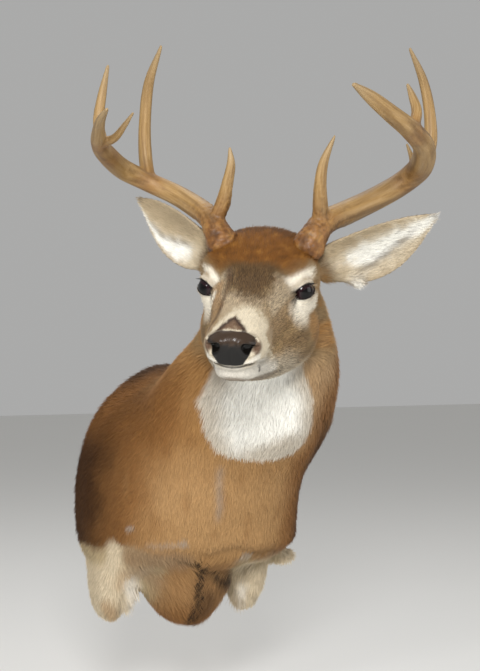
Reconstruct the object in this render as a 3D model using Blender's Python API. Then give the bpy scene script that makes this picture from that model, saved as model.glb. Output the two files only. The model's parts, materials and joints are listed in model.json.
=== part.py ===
"""White-tailed deer shoulder mount: a buck's head, neck and shoulders on a flat wooden back board.

Origin at the middle of the board's back face, which lies on the wall (the XZ plane). The deer looks
out along -Y, +Z is up and the deer's left is +X. Forms are laid out in centimetres; CM turns them to
metres. The flesh is modelled whole from lofted sections, then parted with thin cuts.
"""
import math

import bmesh
import bpy
import numpy as np
from mathutils import Matrix, Vector

CM = 0.01
GAP = 0.0003                  # clearance between neighbouring solids, metres

# Head: the point midway between the eyes, and how the head is carried
HEAD_PLACE = (-3.7, -37.9, 26.8)
HEAD_TURN = 34.5              # degrees towards the deer's right
HEAD_DIP = 25.0               # degrees, nose below the eyes
HEAD_TILT = 3.0               # degrees, left side lower

# Back board
BOARD_THICKNESS = 1.9
BOARD_HALF_HEIGHT = 15.4
BOARD_HALF_WIDTH = 13.0
BOARD_SQUARENESS = 2.05

# The breastbone lies to the deer's right of the board's middle, because the body is turned a little
BREASTBONE = -1.6

# Trunk, as level sections: height, middle from the breastbone, half width, reach from the wall and
# squareness
TRUNK = [
    (-13.0, 0.5, 9.0, 10.0, 2.2),
    (-11.0, 1.4, 13.8, 16.2, 2.4),
    (-8.5, 2.3, 16.0, 18.8, 2.6),
    (-5.0, 2.0, 16.2, 21.2, 2.5),
    (0.0, 1.8, 16.0, 23.6, 2.25),
    (5.0, 1.6, 14.9, 24.6, 2.1),
    (10.0, 1.2, 12.4, 21.0, 2.0),
    (13.7, 0.5, 8.2, 13.0, 2.0),
    (16.2, 0.1, 4.3, 5.6, 2.0),
    (17.3, 0.0, 1.2, 1.6, 2.0),
]

# Neck, as sections square to its own line: middle (x from the breastbone, y, z), half width, half depth
NECK = [
    (1.0, -5.0, -6.0, 9.0, 7.0),
    (3.0, -9.5, -0.5, 12.6, 7.6),
    (4.1, -14.0, 5.5, 13.4, 8.8),
    (4.7, -18.8, 11.0, 13.0, 9.8),
    (5.4, -23.6, 16.2, 11.0, 9.7),
    (4.6, -27.4, 21.2, 8.6, 8.7),
    (3.3, -30.2, 26.2, 6.5, 6.9),
    (2.6, -31.4, 30.4, 4.8, 4.8),
]

# Head and lower jaw, as sections from the poll towards the nose: forward, top, widest level, underside
# and half width
SKULL = [
    (-11.6, 2.0, -0.6, -3.4, 2.6),
    (-10.2, 3.8, 0.0, -6.0, 4.6),
    (-7.6, 4.9, 0.2, -8.0, 6.5),
    (-4.6, 5.1, 0.2, -8.6, 7.2),
    (-1.6, 4.8, 0.1, -8.2, 7.2),
    (1.2, 4.2, -0.3, -7.4, 6.4),
    (3.8, 3.5, -0.8, -6.2, 5.1),
    (6.6, 3.0, -1.1, -4.9, 4.4),
    (9.6, 2.7, -1.1, -3.9, 3.9),
    (12.4, 2.5, -0.9, -3.3, 3.7),
    (14.8, 2.5, -0.6, -2.9, 3.5),
    (16.6, 2.35, -0.4, -2.7, 3.1),
    (17.7, 2.0, -0.2, -2.3, 2.6),
    (18.3, 1.4, 0.0, -1.6, 1.8),
]
JAW = [
    (-8.0, -3.0, -5.5, -8.4, 3.6),
    (-6.0, -2.0, -5.4, -10.6, 6.0),
    (-3.0, -1.5, -5.8, -11.4, 7.0),
    (0.5, -1.5, -5.8, -11.2, 6.9),
    (4.0, -1.6, -5.6, -10.2, 6.0),
    (7.5, -1.9, -5.0, -8.7, 4.8),
    (10.8, -2.2, -4.4, -7.1, 3.5),
    (13.4, -2.4, -4.0, -5.6, 2.9),
    (15.2, -2.4, -3.5, -4.9, 2.5),
    (16.6, -2.4, -3.3, -4.3, 1.9),
    (17.1, -2.6, -3.2, -3.8, 1.3),
]
SKULL_SQUARENESS, JAW_SQUARENESS = 2.25, 2.3

# Brisket keel between the forelegs: level, middle y, half width, half depth
BRISKET = [
    (-8.0, -8.6, 8.6, 7.0),
    (-11.5, -8.6, 7.8, 6.8),
    (-14.5, -8.6, 6.8, 6.2),
    (-17.0, -8.6, 5.2, 5.2),
    (-19.2, -8.6, 3.2, 3.8),
    (-20.1, -8.6, 1.4, 2.0),
]

# Foreleg stubs: level, middle from the breastbone, middle y, half width, half depth
FORELEG = [
    (-6.0, 9.4, -7.4, 4.2, 5.4),
    (-10.0, 10.0, -7.0, 3.7, 5.0),
    (-13.5, 10.3, -6.6, 3.3, 4.5),
    (-16.5, 10.4, -6.3, 2.7, 3.8),
    (-18.6, 10.3, -6.2, 1.8, 2.8),
    (-19.6, 10.2, -6.2, 0.8, 1.4),
]
FORELEG_LIFT = {"right": 0.0, "left": 0.5}   # the left stub is cut higher

# The corner of hide that stands out above the left foreleg: middle (x from the breastbone) and radii
ELBOW_FOLD = (15.4, -8.2, -11.4)
ELBOW_FOLD_SIZE = (2.4, 2.2, 1.1)

# Eyes, in head directions (forward, left, up)
EYE_PLACE = (0.2, 5.4, 0.0)
EYE_RADIUS = 1.68
EYE_GAZE = (0.75, 0.64, 0.12)
EYE_RIM = 0.55                # share of the radius past which the socket opens out
EYE_OPENING = (1.05, 0.78)     # width and height of the opening against that rim

NOSTRIL_PLACE = (17.6, 2.15, 0.4)
NOSTRIL_SIZE = (1.0, 0.6, 0.4)

# Ears: root, tip, and the way the cup opens, in head directions; lateral is for the left ear
EARS = {
    "left": {"root": (-6.2, 6.0, 0.4), "tip": (-7.0, 20.8, 7.4), "opens": (0.9, -0.05, -0.05)},
    "right": {"root": (-6.4, -5.8, 0.8), "tip": (-13.4, -17.0, 6.0), "opens": (0.8, -0.45, 0.1)},
}
EAR_CURL = 0.5                # how much of the cup lies behind the ear's own line
EAR_BOW = {"left": 1.2, "right": -0.8}     # sag of the ear's middle, across its length
# share of the ear's length, half width, depth of the cup, thickness
EAR_FORM = [
    (0.00, 1.9, 0.1, 2.4),
    (0.12, 2.5, 0.5, 2.0),
    (0.28, 3.1, 1.3, 1.1),
    (0.45, 3.3, 1.3, 0.7),
    (0.62, 3.0, 1.0, 0.55),
    (0.78, 2.2, 0.6, 0.5),
    (0.90, 1.25, 0.25, 0.45),
    (0.97, 0.55, 0.1, 0.4),
    (1.00, 0.2, 0.0, 0.3),
]

# Antlers in head directions (forward, left, up) with the radius there. A beam's lengths share ends.
ANTLERS = {
    "left": {
        "beam": [(-4.6, 5.4, 3.0, 1.7), (-5.4, 6.4, 4.8, 1.8), (-7.6, 7.6, 6.0, 1.6),
                 (-10.8, 10.2, 6.3, 1.6), (-14.2, 13.6, 7.1, 1.56), (-15.9, 16.8, 8.7, 1.56),
                 (-14.6, 18.9, 11.3, 1.6), (-10.0, 19.3, 15.2, 1.4), (-5.2, 17.8, 18.7, 1.25),
                 (-1.8, 15.7, 21.5, 1.08), (0.7, 13.6, 24.0, 0.84), (2.9, 11.7, 26.1, 0.32)],
        "forks": (3, 7),
        "tines": {
            "brow_tine": [(-6.8, 7.0, 5.7, 1.0), (-6.6, 7.1, 8.4, 1.0), (-6.5, 7.1, 11.2, 0.84),
                          (-6.9, 7.5, 14.0, 0.64), (-7.5, 8.8, 17.2, 0.24)],
            "long_tine": [(-14.9, 18.6, 10.8, 1.0), (-16.6, 19.8, 13.2, 0.95),
                          (-18.0, 19.7, 16.8, 0.8), (-18.8, 18.7, 21.0, 0.66),
                          (-17.9, 16.9, 25.4, 0.28)],
            "fore_tine": [(-5.8, 18.0, 18.2, 0.8), (-7.9, 18.4, 20.0, 0.7), (-9.5, 17.8, 21.4, 0.55),
                          (-11.1, 17.0, 22.7, 0.26)],
            "inner_point": [(-15.7, 17.2, 9.1, 0.8), (-17.7, 17.7, 10.8, 0.5),
                            (-19.7, 16.8, 12.7, 0.24)],
        },
    },
    "right": {
        "beam": [(-4.2, -4.4, 3.2, 1.7), (-4.9, -5.4, 4.9, 1.75), (-6.8, -6.8, 6.3, 1.5),
                 (-9.2, -9.1, 6.9, 1.46), (-11.2, -12.0, 7.7, 1.38), (-11.9, -15.6, 9.0, 1.34),
                 (-10.2, -18.6, 11.3, 1.36), (-5.6, -19.4, 14.8, 1.26), (-2.2, -19.1, 17.0, 1.0),
                 (1.2, -18.1, 19.2, 0.85), (4.6, -16.7, 21.8, 0.62), (7.5, -15.0, 24.0, 0.28)],
        "forks": (3, 7),
        "tines": {
            "brow_tine": [(-6.0, -6.2, 5.7, 1.0), (-6.2, -5.0, 8.4, 1.0), (-6.3, -4.4, 10.8, 0.8),
                          (-6.7, -3.9, 13.3, 0.62), (-7.2, -4.1, 15.5, 0.24)],
            "long_tine": [(-11.7, -15.6, 9.1, 0.95), (-13.8, -16.4, 11.8, 0.92),
                          (-15.2, -16.6, 15.6, 0.84), (-16.2, -16.0, 20.8, 0.72),
                          (-15.9, -14.0, 25.8, 0.28)],
            "fore_tine": [(-6.0, -19.5, 14.5, 0.85), (-8.5, -20.8, 17.5, 0.75),
                          (-9.9, -20.6, 20.4, 0.66), (-10.9, -19.7, 24.5, 0.28)],
            "inner_point": [(-2.0, -18.9, 17.1, 0.75), (-0.4, -16.6, 18.3, 0.55),
                            (0.8, -14.8, 20.4, 0.4), (1.5, -13.6, 22.0, 0.24)],
        },
    },
}

# Cuts between the pieces of flesh
NECK_CUT = (1.8, -18.5, 9.0)               # a point of the cut across the root of the neck
NECK_CUT_RISE = (0.18, -0.68, 0.71)        # the way the neck leaves the trunk
HEAD_CUT = (-9.8, 0.0, 3.5)               # in head directions
HEAD_CUT_SLOPE = (0.86, 0.51)              # forward and up
FORELEG_INNER, FORELEG_TOP = 6.2, -10.8
FORELEG_BOX = (14.0, 15.0, 40.0)           # width, drop and depth of the cut round a stub

RING = 40                     # points round a flesh section
EAR_POINTS = 12
ANTLER_SIDES = 10
TINE_SIDES = 8
BEAM_STEPS = 2
TINE_STEPS = 2
VOXEL = 0.0042
BODY_FILLET = 7.0             # radius of the round where the neck leaves the trunk
FILLET_VOXEL = 0.007
FILLET_SMOOTHING = 12
BODY_SMOOTHING = 100
HEAD_SMOOTH_LINE = -9.0       # the head keeps its form above this line, which falls forwards
HEAD_SMOOTH_LEAN = -0.45
SMOOTH_FADE = 4.0
LEAST_SMOOTHING = 0.05
THINNING = 0.041               # share of the flesh's faces that stay

FORWARD, LEFT, UP = (Vector(axis) for axis in ((0, -1, 0), (1, 0, 0), (0, 0, 1)))


def head_directions():
    """Forward, left and up of the turned, dipped and tilted head."""
    turn = Matrix.Rotation(-math.radians(HEAD_TURN), 3, "Z")
    dip = Matrix.Rotation(math.radians(HEAD_DIP), 3, "X")
    tilt = Matrix.Rotation(math.radians(HEAD_TILT), 3, "Y")
    frame = turn @ dip @ tilt
    return frame @ FORWARD, frame @ LEFT, frame @ UP


HEAD_FORWARD, HEAD_LEFT, HEAD_UP = head_directions()


def in_head(forward, left, up):
    """The place of a point given in head directions, in centimetres."""
    return Vector(HEAD_PLACE) + forward * HEAD_FORWARD + left * HEAD_LEFT + up * HEAD_UP


# ---------------------------------------------------------------- shaping helpers


def material(name, colour, roughness, metallic=0.0):
    """A plain Principled material; colour is linear red, green, blue."""
    finish = bpy.data.materials.new(name)
    finish.use_nodes = True
    shader = finish.node_tree.nodes["Principled BSDF"]
    shader.inputs["Base Color"].default_value = (*colour, 1.0)
    shader.inputs["Roughness"].default_value = roughness
    shader.inputs["Metallic"].default_value = metallic
    finish.diffuse_color = (*colour, 1.0)
    return finish


def new_object(name, mesh, finish=None):
    """Link a mesh to the scene as a named object."""
    thing = bpy.data.objects.new(name, mesh)
    bpy.context.scene.collection.objects.link(thing)
    if finish:
        mesh.materials.clear()
        mesh.materials.append(finish)
    return thing


def hide_cutter(thing):
    """Mark an object as a tool that only shapes others."""
    thing.hide_render = True
    thing.display_type = "WIRE"
    return thing


def section(middle, across, upright, half_width, above, below, squareness=2.0, sides=RING):
    """A closed ring round middle: a superellipse with its own reach above and below."""
    ring = []
    for step in range(sides):
        angle = 2 * math.pi * step / sides
        c, s = math.cos(angle), math.sin(angle)
        wide = math.copysign(abs(c) ** (2 / squareness), c) * half_width
        tall = math.copysign(abs(s) ** (2 / squareness), s) * (above if s > 0 else below)
        ring.append(middle + wide * across + tall * upright)
    return ring


def loft(name, rings):
    """A closed tube through rings of equal size, its two ends filled flat."""
    form = bmesh.new()
    rows = [[form.verts.new(point * CM) for point in ring] for ring in rings]
    for row, following in zip(rows, rows[1:]):
        for i in range(len(row)):
            j = (i + 1) % len(row)
            form.faces.new((row[i], row[j], following[j], following[i]))
    form.faces.new(rows[0])
    form.faces.new(rows[-1])
    bmesh.ops.triangulate(form, faces=[face for face in form.faces if len(face.verts) > 4])
    bmesh.ops.recalc_face_normals(form, faces=form.faces)
    mesh = bpy.data.meshes.new(name)
    form.to_mesh(mesh)
    form.free()
    return mesh


def smooth_curve(rows, steps):
    """Catmull-Rom samples through rows of numbers, steps to each span."""
    points = [np.array(row, float) for row in rows]
    padded = [2 * points[0] - points[1], *points, 2 * points[-1] - points[-2]]
    curve = []
    for p0, p1, p2, p3 in zip(padded, padded[1:], padded[2:], padded[3:]):
        for step in range(steps):
            t = step / steps
            curve.append(0.5 * (2 * p1 + (p2 - p0) * t + (2 * p0 - 5 * p1 + 4 * p2 - p3) * t * t
                                + (3 * p1 - p0 - 3 * p2 + p3) * t ** 3))
    curve.append(points[-1])
    return [point.tolist() for point in curve]


def directions(line):
    """The heading of a sampled line at each of its points."""
    ends = [line[0], *line, line[-1]]
    return [(ahead - behind).normalized() for behind, ahead in zip(ends, ends[2:])]


def tube_rings(samples, sides):
    """The rings of a round tube along samples of (x, y, z, radius), their frame carried along."""
    line = [Vector(sample[:3]) for sample in samples]
    across = None
    rings = []
    for point, heading, sample in zip(line, directions(line), samples):
        across = (across or heading.orthogonal())
        across = (across - across.dot(heading) * heading).normalized()
        rings.append(section(point, across, heading.cross(across), sample[3], sample[3], sample[3],
                             sides=sides))
    return rings


def tube(name, samples, sides):
    """A round tube along samples of (x, y, z, radius)."""
    return loft(name, tube_rings(samples, sides))


def evaluated_mesh(thing, name):
    """The object's mesh with its modifiers carried out."""
    graph = bpy.context.evaluated_depsgraph_get()
    mesh = bpy.data.meshes.new_from_object(thing.evaluated_get(graph))
    mesh.name = name
    return mesh


def boolean(thing, operation, cutter):
    """A live Boolean of one object by another."""
    step = thing.modifiers.new(f"{operation.lower()} {cutter.name}", "BOOLEAN")
    step.operation = operation
    step.object = cutter


def grow(thing, distance):
    """Swell an object along its normals."""
    step = thing.modifiers.new("grow", "DISPLACE")
    step.strength = distance
    step.mid_level = 0.0


def half_space(name, point, normal, size=1.2):
    """A large box whose one face passes through point; it lies on the side normal points to."""
    form = bmesh.new()
    bmesh.ops.create_cube(form, size=size)
    turn = normal.to_track_quat("Z", "Y").to_matrix().to_4x4()
    place = Matrix.Translation(point * CM) @ turn @ Matrix.Translation((0, 0, size / 2))
    bmesh.ops.transform(form, matrix=place, verts=form.verts)
    mesh = bpy.data.meshes.new(name)
    form.to_mesh(mesh)
    form.free()
    return hide_cutter(new_object(name, mesh))


# ---------------------------------------------------------------- the whole flesh


def trunk_mesh():
    """Shoulders and chest; the sections run on behind the wall and are cut off there."""
    rings = [section(Vector((BREASTBONE + middle, 0, level)), LEFT, FORWARD, half_width, reach, reach,
                     squareness)
             for level, middle, half_width, reach, squareness in TRUNK]
    return loft("trunk form", rings)


def neck_mesh():
    """The neck, bowed to the deer's left and rising to the back of the skull."""
    samples = smooth_curve(NECK, 3)
    line = [Vector((BREASTBONE, 0, 0)) + Vector(sample[:3]) for sample in samples]
    rings = []
    for point, heading, sample in zip(line, directions(line), samples):
        across = (LEFT - LEFT.dot(heading) * heading).normalized()
        rings.append(section(point, across, heading.cross(across), sample[3], sample[4], sample[4]))
    return loft("neck form", rings)


def head_loft(name, table, squareness):
    """A form of the head through sections square to its forward line."""
    rings = []
    for row in smooth_curve(table, 2):
        forward, top, level, underside, half_width = row
        rings.append(section(in_head(forward, 0, level), HEAD_LEFT, HEAD_UP, half_width,
                             top - level, level - underside, squareness))
    return loft(name, rings)


def brisket_mesh():
    """The keel of the breastbone between the forelegs."""
    rings = [section(Vector((BREASTBONE, middle, level)), LEFT, FORWARD, half_width, half_depth,
                     half_depth)
             for level, middle, half_width, half_depth in BRISKET]
    return loft("brisket form", rings)


def foreleg_mesh(side):
    """A foreleg cut off above the elbow."""
    outwards = 1 if side == "left" else -1
    lift = FORELEG_LIFT[side]
    rings = []
    for share, row in enumerate(FORELEG):
        level, x, y, half_width, half_depth = row
        level += lift * share / (len(FORELEG) - 1)
        rings.append(section(Vector((BREASTBONE + outwards * x, y, level)), LEFT, FORWARD, half_width,
                             half_depth, half_depth))
    return loft(f"{side} foreleg form", rings)


def elbow_fold_mesh():
    """The standing corner of hide at the left elbow."""
    form = bmesh.new()
    bmesh.ops.create_icosphere(form, subdivisions=3, radius=CM)
    place = Matrix.Translation((Vector(ELBOW_FOLD) + Vector((BREASTBONE, 0, 0))) * CM)
    bmesh.ops.transform(form, matrix=place @ Matrix.Diagonal((*ELBOW_FOLD_SIZE, 1.0)), verts=form.verts)
    mesh = bpy.data.meshes.new("elbow fold")
    form.to_mesh(mesh)
    form.free()
    return mesh


def joined(name, meshes):
    """One object of several meshes that pass through each other."""
    together = bmesh.new()
    for mesh in meshes:
        together.from_mesh(mesh)
    mesh = bpy.data.meshes.new(name)
    together.to_mesh(mesh)
    together.free()
    return new_object(name, mesh)


def weld(thing, voxel):
    """Turn an object's crossing shells into one outer skin."""
    step = thing.modifiers.new("one skin", "REMESH")
    step.mode = "VOXEL"
    step.voxel_size = voxel


def body_mesh():
    """Trunk and neck with the crease between them filled to a wide round, by growing and shrinking."""
    body = joined("body form", [trunk_mesh(), neck_mesh()])
    weld(body, FILLET_VOXEL)
    grow(body, BODY_FILLET * CM)
    weld(body, FILLET_VOXEL)
    soften = body.modifiers.new("even the grown skin", "SMOOTH")
    soften.iterations = FILLET_SMOOTHING
    grow(body, -BODY_FILLET * CM)
    mesh = evaluated_mesh(body, "body")
    bpy.data.objects.remove(body)
    return mesh


def flesh_mesh():
    """All the flesh but the ears as one closed skin."""
    whole = joined("flesh form", [
        body_mesh(), head_loft("skull form", SKULL, SKULL_SQUARENESS),
        head_loft("jaw form", JAW, JAW_SQUARENESS), brisket_mesh(), foreleg_mesh("left"),
        foreleg_mesh("right"), elbow_fold_mesh()])
    weld(whole, VOXEL)
    skin = new_object("one skin", evaluated_mesh(whole, "one skin"))
    body = skin.vertex_groups.new(name="body")
    for vert in skin.data.vertices:
        from_eyes = vert.co / CM - Vector(HEAD_PLACE)
        ahead, above = from_eyes.dot(HEAD_FORWARD), from_eyes.dot(HEAD_UP)
        below_head = HEAD_SMOOTH_LINE - above + HEAD_SMOOTH_LEAN * ahead
        above_legs = vert.co.z / CM - FORELEG_TOP
        weight = min(1.0, max(below_head, 0.0) / SMOOTH_FADE, max(above_legs, 0.0) / SMOOTH_FADE)
        body.add([vert.index], max(weight, LEAST_SMOOTHING), "REPLACE")
    soften = skin.modifiers.new("soften the body", "SMOOTH")
    soften.factor = 0.5
    soften.iterations = BODY_SMOOTHING
    soften.vertex_group = "body"
    thin = skin.modifiers.new("thin", "DECIMATE")
    thin.ratio = THINNING
    result = evaluated_mesh(skin, "flesh")
    bpy.data.objects.remove(whole)
    bpy.data.objects.remove(skin)
    return result


# ---------------------------------------------------------------- the pieces


def ear_mesh(side):
    """A cupped leaf from its round root to its tip, open towards the front."""
    form = EARS[side]
    root, tip = in_head(*form["root"]), in_head(*form["tip"])
    along = (tip - root).normalized()
    opens = sum((value * axis for value, axis in
                 zip(form["opens"], (HEAD_FORWARD, HEAD_LEFT, HEAD_UP))), Vector())
    opens = (opens - opens.dot(along) * along).normalized()
    across = along.cross(opens)
    length = (tip - root).length
    half = EAR_POINTS // 2
    rings = []
    for share, half_width, cup, thickness in smooth_curve(EAR_FORM, 2):
        sag = EAR_BOW[side] * math.sin(math.pi * share)
        middle = root + share * length * along + sag * across
        ring = []
        for step in range(EAR_POINTS):
            front = step < half
            run = (step if front else EAR_POINTS - step) / half
            reach = math.cos(math.pi * run)
            hollow = cup * (1 - reach * reach)
            edge = math.sqrt(max(0.0, 1 - reach * reach))
            depth = -hollow + (0.5 if front else -0.5) * thickness * edge
            ring.append(middle + reach * half_width * across + (depth + EAR_CURL * cup) * opens)
        rings.append(ring)
    return loft(f"ear_{side}", rings)


def eye_mesh(name, side, radius, opening=None):
    """The glass eye's ball; with an opening, the socket that takes it, open along the gaze."""
    form = bmesh.new()
    bmesh.ops.create_uvsphere(form, u_segments=16, v_segments=8, radius=radius * CM)
    gaze = eye_gaze(side)
    if opening:
        wide, tall = opening
        for vert in form.verts:
            if vert.co.z > EYE_RIM * radius * CM:
                vert.co = Vector((vert.co.x * wide, vert.co.y * tall, vert.co.z + 3 * CM))
    upright = (HEAD_UP - HEAD_UP.dot(gaze) * gaze).normalized()
    turn = Matrix((upright.cross(gaze), upright, gaze)).transposed().to_4x4()
    forward, left, up = EYE_PLACE
    place = in_head(forward, left if side == "left" else -left, up)
    bmesh.ops.transform(form, matrix=Matrix.Translation(place * CM) @ turn, verts=form.verts)
    bmesh.ops.recalc_face_normals(form, faces=form.faces)
    mesh = bpy.data.meshes.new(name)
    form.to_mesh(mesh)
    form.free()
    return mesh


def eye_gaze(side):
    """The way an eye looks."""
    forward, left, up = EYE_GAZE
    return (forward * HEAD_FORWARD + (left if side == "left" else -left) * HEAD_LEFT
            + up * HEAD_UP).normalized()


def nostril_mesh(side):
    """A comma-shaped hollow in the side of the nose."""
    form = bmesh.new()
    bmesh.ops.create_icosphere(form, subdivisions=2, radius=CM)
    forward, left, up = NOSTRIL_PLACE
    place = in_head(forward, left if side == "left" else -left, up)
    axes = Matrix((HEAD_FORWARD, HEAD_LEFT, HEAD_UP)).transposed().to_4x4()
    shape = Matrix.Diagonal((*NOSTRIL_SIZE, 1.0))
    bmesh.ops.transform(form, matrix=Matrix.Translation(place * CM) @ axes @ shape, verts=form.verts)
    mesh = bpy.data.meshes.new(f"nostril {side}")
    form.to_mesh(mesh)
    form.free()
    return mesh


def board_mesh():
    """The flat back board: the outline of the form where it meets the wall, a little inside it."""
    form = bmesh.new()
    outline = section(Vector(), LEFT, UP, BOARD_HALF_WIDTH, BOARD_HALF_HEIGHT, BOARD_HALF_HEIGHT,
                      BOARD_SQUARENESS)
    face = form.faces.new([form.verts.new(point * CM) for point in outline])
    extruded = bmesh.ops.extrude_face_region(form, geom=[face])["geom"]
    bmesh.ops.translate(form, vec=FORWARD * BOARD_THICKNESS * CM,
                        verts=[item for item in extruded if isinstance(item, bmesh.types.BMVert)])
    bmesh.ops.recalc_face_normals(form, faces=form.faces)
    mesh = bpy.data.meshes.new("back_board")
    form.to_mesh(mesh)
    form.free()
    return mesh


def foreleg_box(name, outwards, spare):
    """A box round one foreleg stub, larger by spare on the two sides that meet the trunk."""
    reach, drop, depth = FORELEG_BOX
    inner, top = FORELEG_INNER - spare, FORELEG_TOP + spare
    outer, bottom = FORELEG_INNER + reach, FORELEG_TOP - drop
    form = bmesh.new()
    bmesh.ops.create_cube(form, size=CM)
    size = Matrix.Diagonal((outer - inner, depth, top - bottom, 1.0))
    middle = Vector((BREASTBONE + outwards * (outer + inner) / 2, -depth / 2 + 2, (top + bottom) / 2))
    bmesh.ops.transform(form, matrix=Matrix.Translation(middle * CM) @ size, verts=form.verts)
    mesh = bpy.data.meshes.new(name)
    form.to_mesh(mesh)
    form.free()
    return hide_cutter(new_object(name, mesh))


def build_flesh():
    """Part the whole flesh into trunk, forelegs, neck and head, and seat the eyes."""
    flesh = flesh_mesh()
    hide = material("tan hide", (0.42, 0.25, 0.12), 0.85)
    pale = material("pale hide", (0.62, 0.52, 0.42), 0.85)
    face = material("brown hide", (0.30, 0.19, 0.10), 0.85)
    glass = material("glass", (0.02, 0.012, 0.008), 0.05)

    wall = half_space("wall side", FORWARD * (BOARD_THICKNESS + GAP / CM), FORWARD)
    rise = Vector(NECK_CUT_RISE).normalized()
    above = half_space("neck side", Vector(NECK_CUT), rise)
    above_grown = half_space("neck side with gap", Vector(NECK_CUT) - rise * GAP / CM, rise)
    nod = (HEAD_CUT_SLOPE[0] * HEAD_FORWARD + HEAD_CUT_SLOPE[1] * HEAD_UP).normalized()
    ahead = half_space("head side", in_head(*HEAD_CUT), nod)
    ahead_grown = half_space("head side with gap", in_head(*HEAD_CUT) - nod * GAP / CM, nod)

    def piece(name, finish, keep, remove=()):
        thing = new_object(name, flesh.copy(), finish)
        for cutter in keep:
            boolean(thing, "INTERSECT", cutter)
        for cutter in remove:
            boolean(thing, "DIFFERENCE", cutter)
        return thing

    boxes = {}
    for side, outwards in (("left", 1), ("right", -1)):
        for grown, spare in (("", 0.0), (" with gap", GAP / CM)):
            boxes[side, grown] = foreleg_box(f"{side} foreleg box{grown}", outwards, spare)

    piece("trunk", hide, [wall], [above_grown, boxes["left", " with gap"], boxes["right", " with gap"]])
    for side in ("left", "right"):
        piece(f"foreleg_{side}", pale, [wall, boxes[side, ""]])
    piece("neck", hide, [above], [ahead_grown])
    hollows = []
    for side in ("left", "right"):
        hollows.append(hide_cutter(new_object(
            f"{side} socket", eye_mesh("socket", side, EYE_RADIUS + GAP / CM, EYE_OPENING))))
        hollows.append(hide_cutter(new_object(f"{side} nostril", nostril_mesh(side))))
        new_object(f"eye_{side}", eye_mesh(f"eye_{side}", side, EYE_RADIUS), glass)
    piece("head", face, [above, ahead], hollows)

    grown_flesh = hide_cutter(new_object("flesh with gap", flesh.copy()))
    grow(grown_flesh, GAP)
    return grown_flesh


def build_ears(flesh):
    """Both ears, cut to the head they stand on."""
    finish = material("ear hide", (0.55, 0.47, 0.38), 0.85)
    for side in EARS:
        ear = new_object(f"ear_{side}", ear_mesh(side), finish)
        boolean(ear, "DIFFERENCE", flesh)


def build_antlers(flesh):
    """Each antler as three lengths of beam and its tines; the tines and the ear are cut to the beam."""
    bone = material("antler", (0.42, 0.27, 0.13), 0.55)
    for side, antler in ANTLERS.items():
        beam = smooth_curve(antler["beam"], BEAM_STEPS)
        placed = [(*in_head(*row[:3]), row[3]) for row in beam]
        whole = hide_cutter(new_object(f"{side} beam", tube("beam", placed, ANTLER_SIDES)))
        grow(whole, GAP)
        boolean(bpy.data.objects[f"ear_{side}"], "DIFFERENCE", whole)
        rings = tube_rings(placed, ANTLER_SIDES)
        headings = directions([Vector(row[:3]) for row in placed])
        starts = [0, *(BEAM_STEPS * index for index in antler["forks"]), len(placed) - 1]
        for name, start, end in zip(("base", "middle", "tip"), starts, starts[1:]):
            length = rings[start:end + 1]
            if start:
                length[0] = [corner + headings[start] * GAP / CM for corner in length[0]]
            thing = new_object(f"antler_{side}_{name}", loft(name, length), bone)
            if not start:
                boolean(thing, "DIFFERENCE", flesh)
        for name, points in antler["tines"].items():
            samples = smooth_curve(points, TINE_STEPS)
            placed_tine = [(*in_head(*row[:3]), row[3]) for row in samples]
            tine = new_object(f"antler_{side}_{name}", tube(name, placed_tine, TINE_SIDES), bone)
            boolean(tine, "DIFFERENCE", whole)


def main():
    for thing in list(bpy.data.objects):
        bpy.data.objects.remove(thing, do_unlink=True)
    flesh = build_flesh()
    build_ears(flesh)
    build_antlers(flesh)
    new_object("back_board", board_mesh(), material("plywood", (0.50, 0.36, 0.20), 0.7))


main()
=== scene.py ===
# White-tailed deer shoulder mount: one skin over the flesh, a coat of hair tufts, antlers, glass eyes.
# Forms are laid out in centimetres, in the row's frame; cm turns them to metres.
import math

import bmesh
import bpy
import numpy as np
from mathutils import Matrix, Vector, noise
from mathutils.kdtree import KDTree
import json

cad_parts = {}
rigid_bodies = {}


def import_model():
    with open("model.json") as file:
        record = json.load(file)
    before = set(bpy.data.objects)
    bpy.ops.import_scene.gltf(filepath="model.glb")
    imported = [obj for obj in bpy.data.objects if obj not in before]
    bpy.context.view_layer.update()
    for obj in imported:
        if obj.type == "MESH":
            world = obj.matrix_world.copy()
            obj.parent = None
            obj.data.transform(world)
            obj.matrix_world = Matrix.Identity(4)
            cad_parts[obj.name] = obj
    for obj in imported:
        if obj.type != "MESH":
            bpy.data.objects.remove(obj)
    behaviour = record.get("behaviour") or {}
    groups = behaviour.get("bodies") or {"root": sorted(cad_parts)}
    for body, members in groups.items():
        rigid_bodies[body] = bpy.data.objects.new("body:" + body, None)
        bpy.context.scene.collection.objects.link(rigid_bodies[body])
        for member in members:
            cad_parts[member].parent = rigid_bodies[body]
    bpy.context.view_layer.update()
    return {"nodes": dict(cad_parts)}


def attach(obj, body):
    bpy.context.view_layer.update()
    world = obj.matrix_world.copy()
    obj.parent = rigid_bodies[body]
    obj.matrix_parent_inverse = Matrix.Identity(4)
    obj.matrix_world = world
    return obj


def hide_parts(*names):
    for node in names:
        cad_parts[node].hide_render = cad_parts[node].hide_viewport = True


for leftover in list(bpy.data.objects):
    bpy.data.objects.remove(leftover)
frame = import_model()

cm = 0.01
mm = 0.001
outOfReach = 9.0        # a distance in cm that counts as far away
sideSigns = {"left": 1, "right": -1}


def say(what):
    print("deer mount:", what, flush=True)


def toLinear(hexColour):
    shares = [int(hexColour[i:i + 2], 16) / 255 for i in (1, 3, 5)]
    return [c / 12.92 if c <= 0.04045 else ((c + 0.055) / 1.055) ** 2.4 for c in shares]


def opaque(hexColour):
    return (*toLinear(hexColour), 1)


def smoothStep(low, high, value):
    share = np.clip((value - low) / (high - low), 0, 1)
    return share * share * (3 - 2 * share)


def faded(*steps):
    # the product of smooth steps, each given as low, high and value
    return math.prod(smoothStep(*step) for step in steps)


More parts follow.
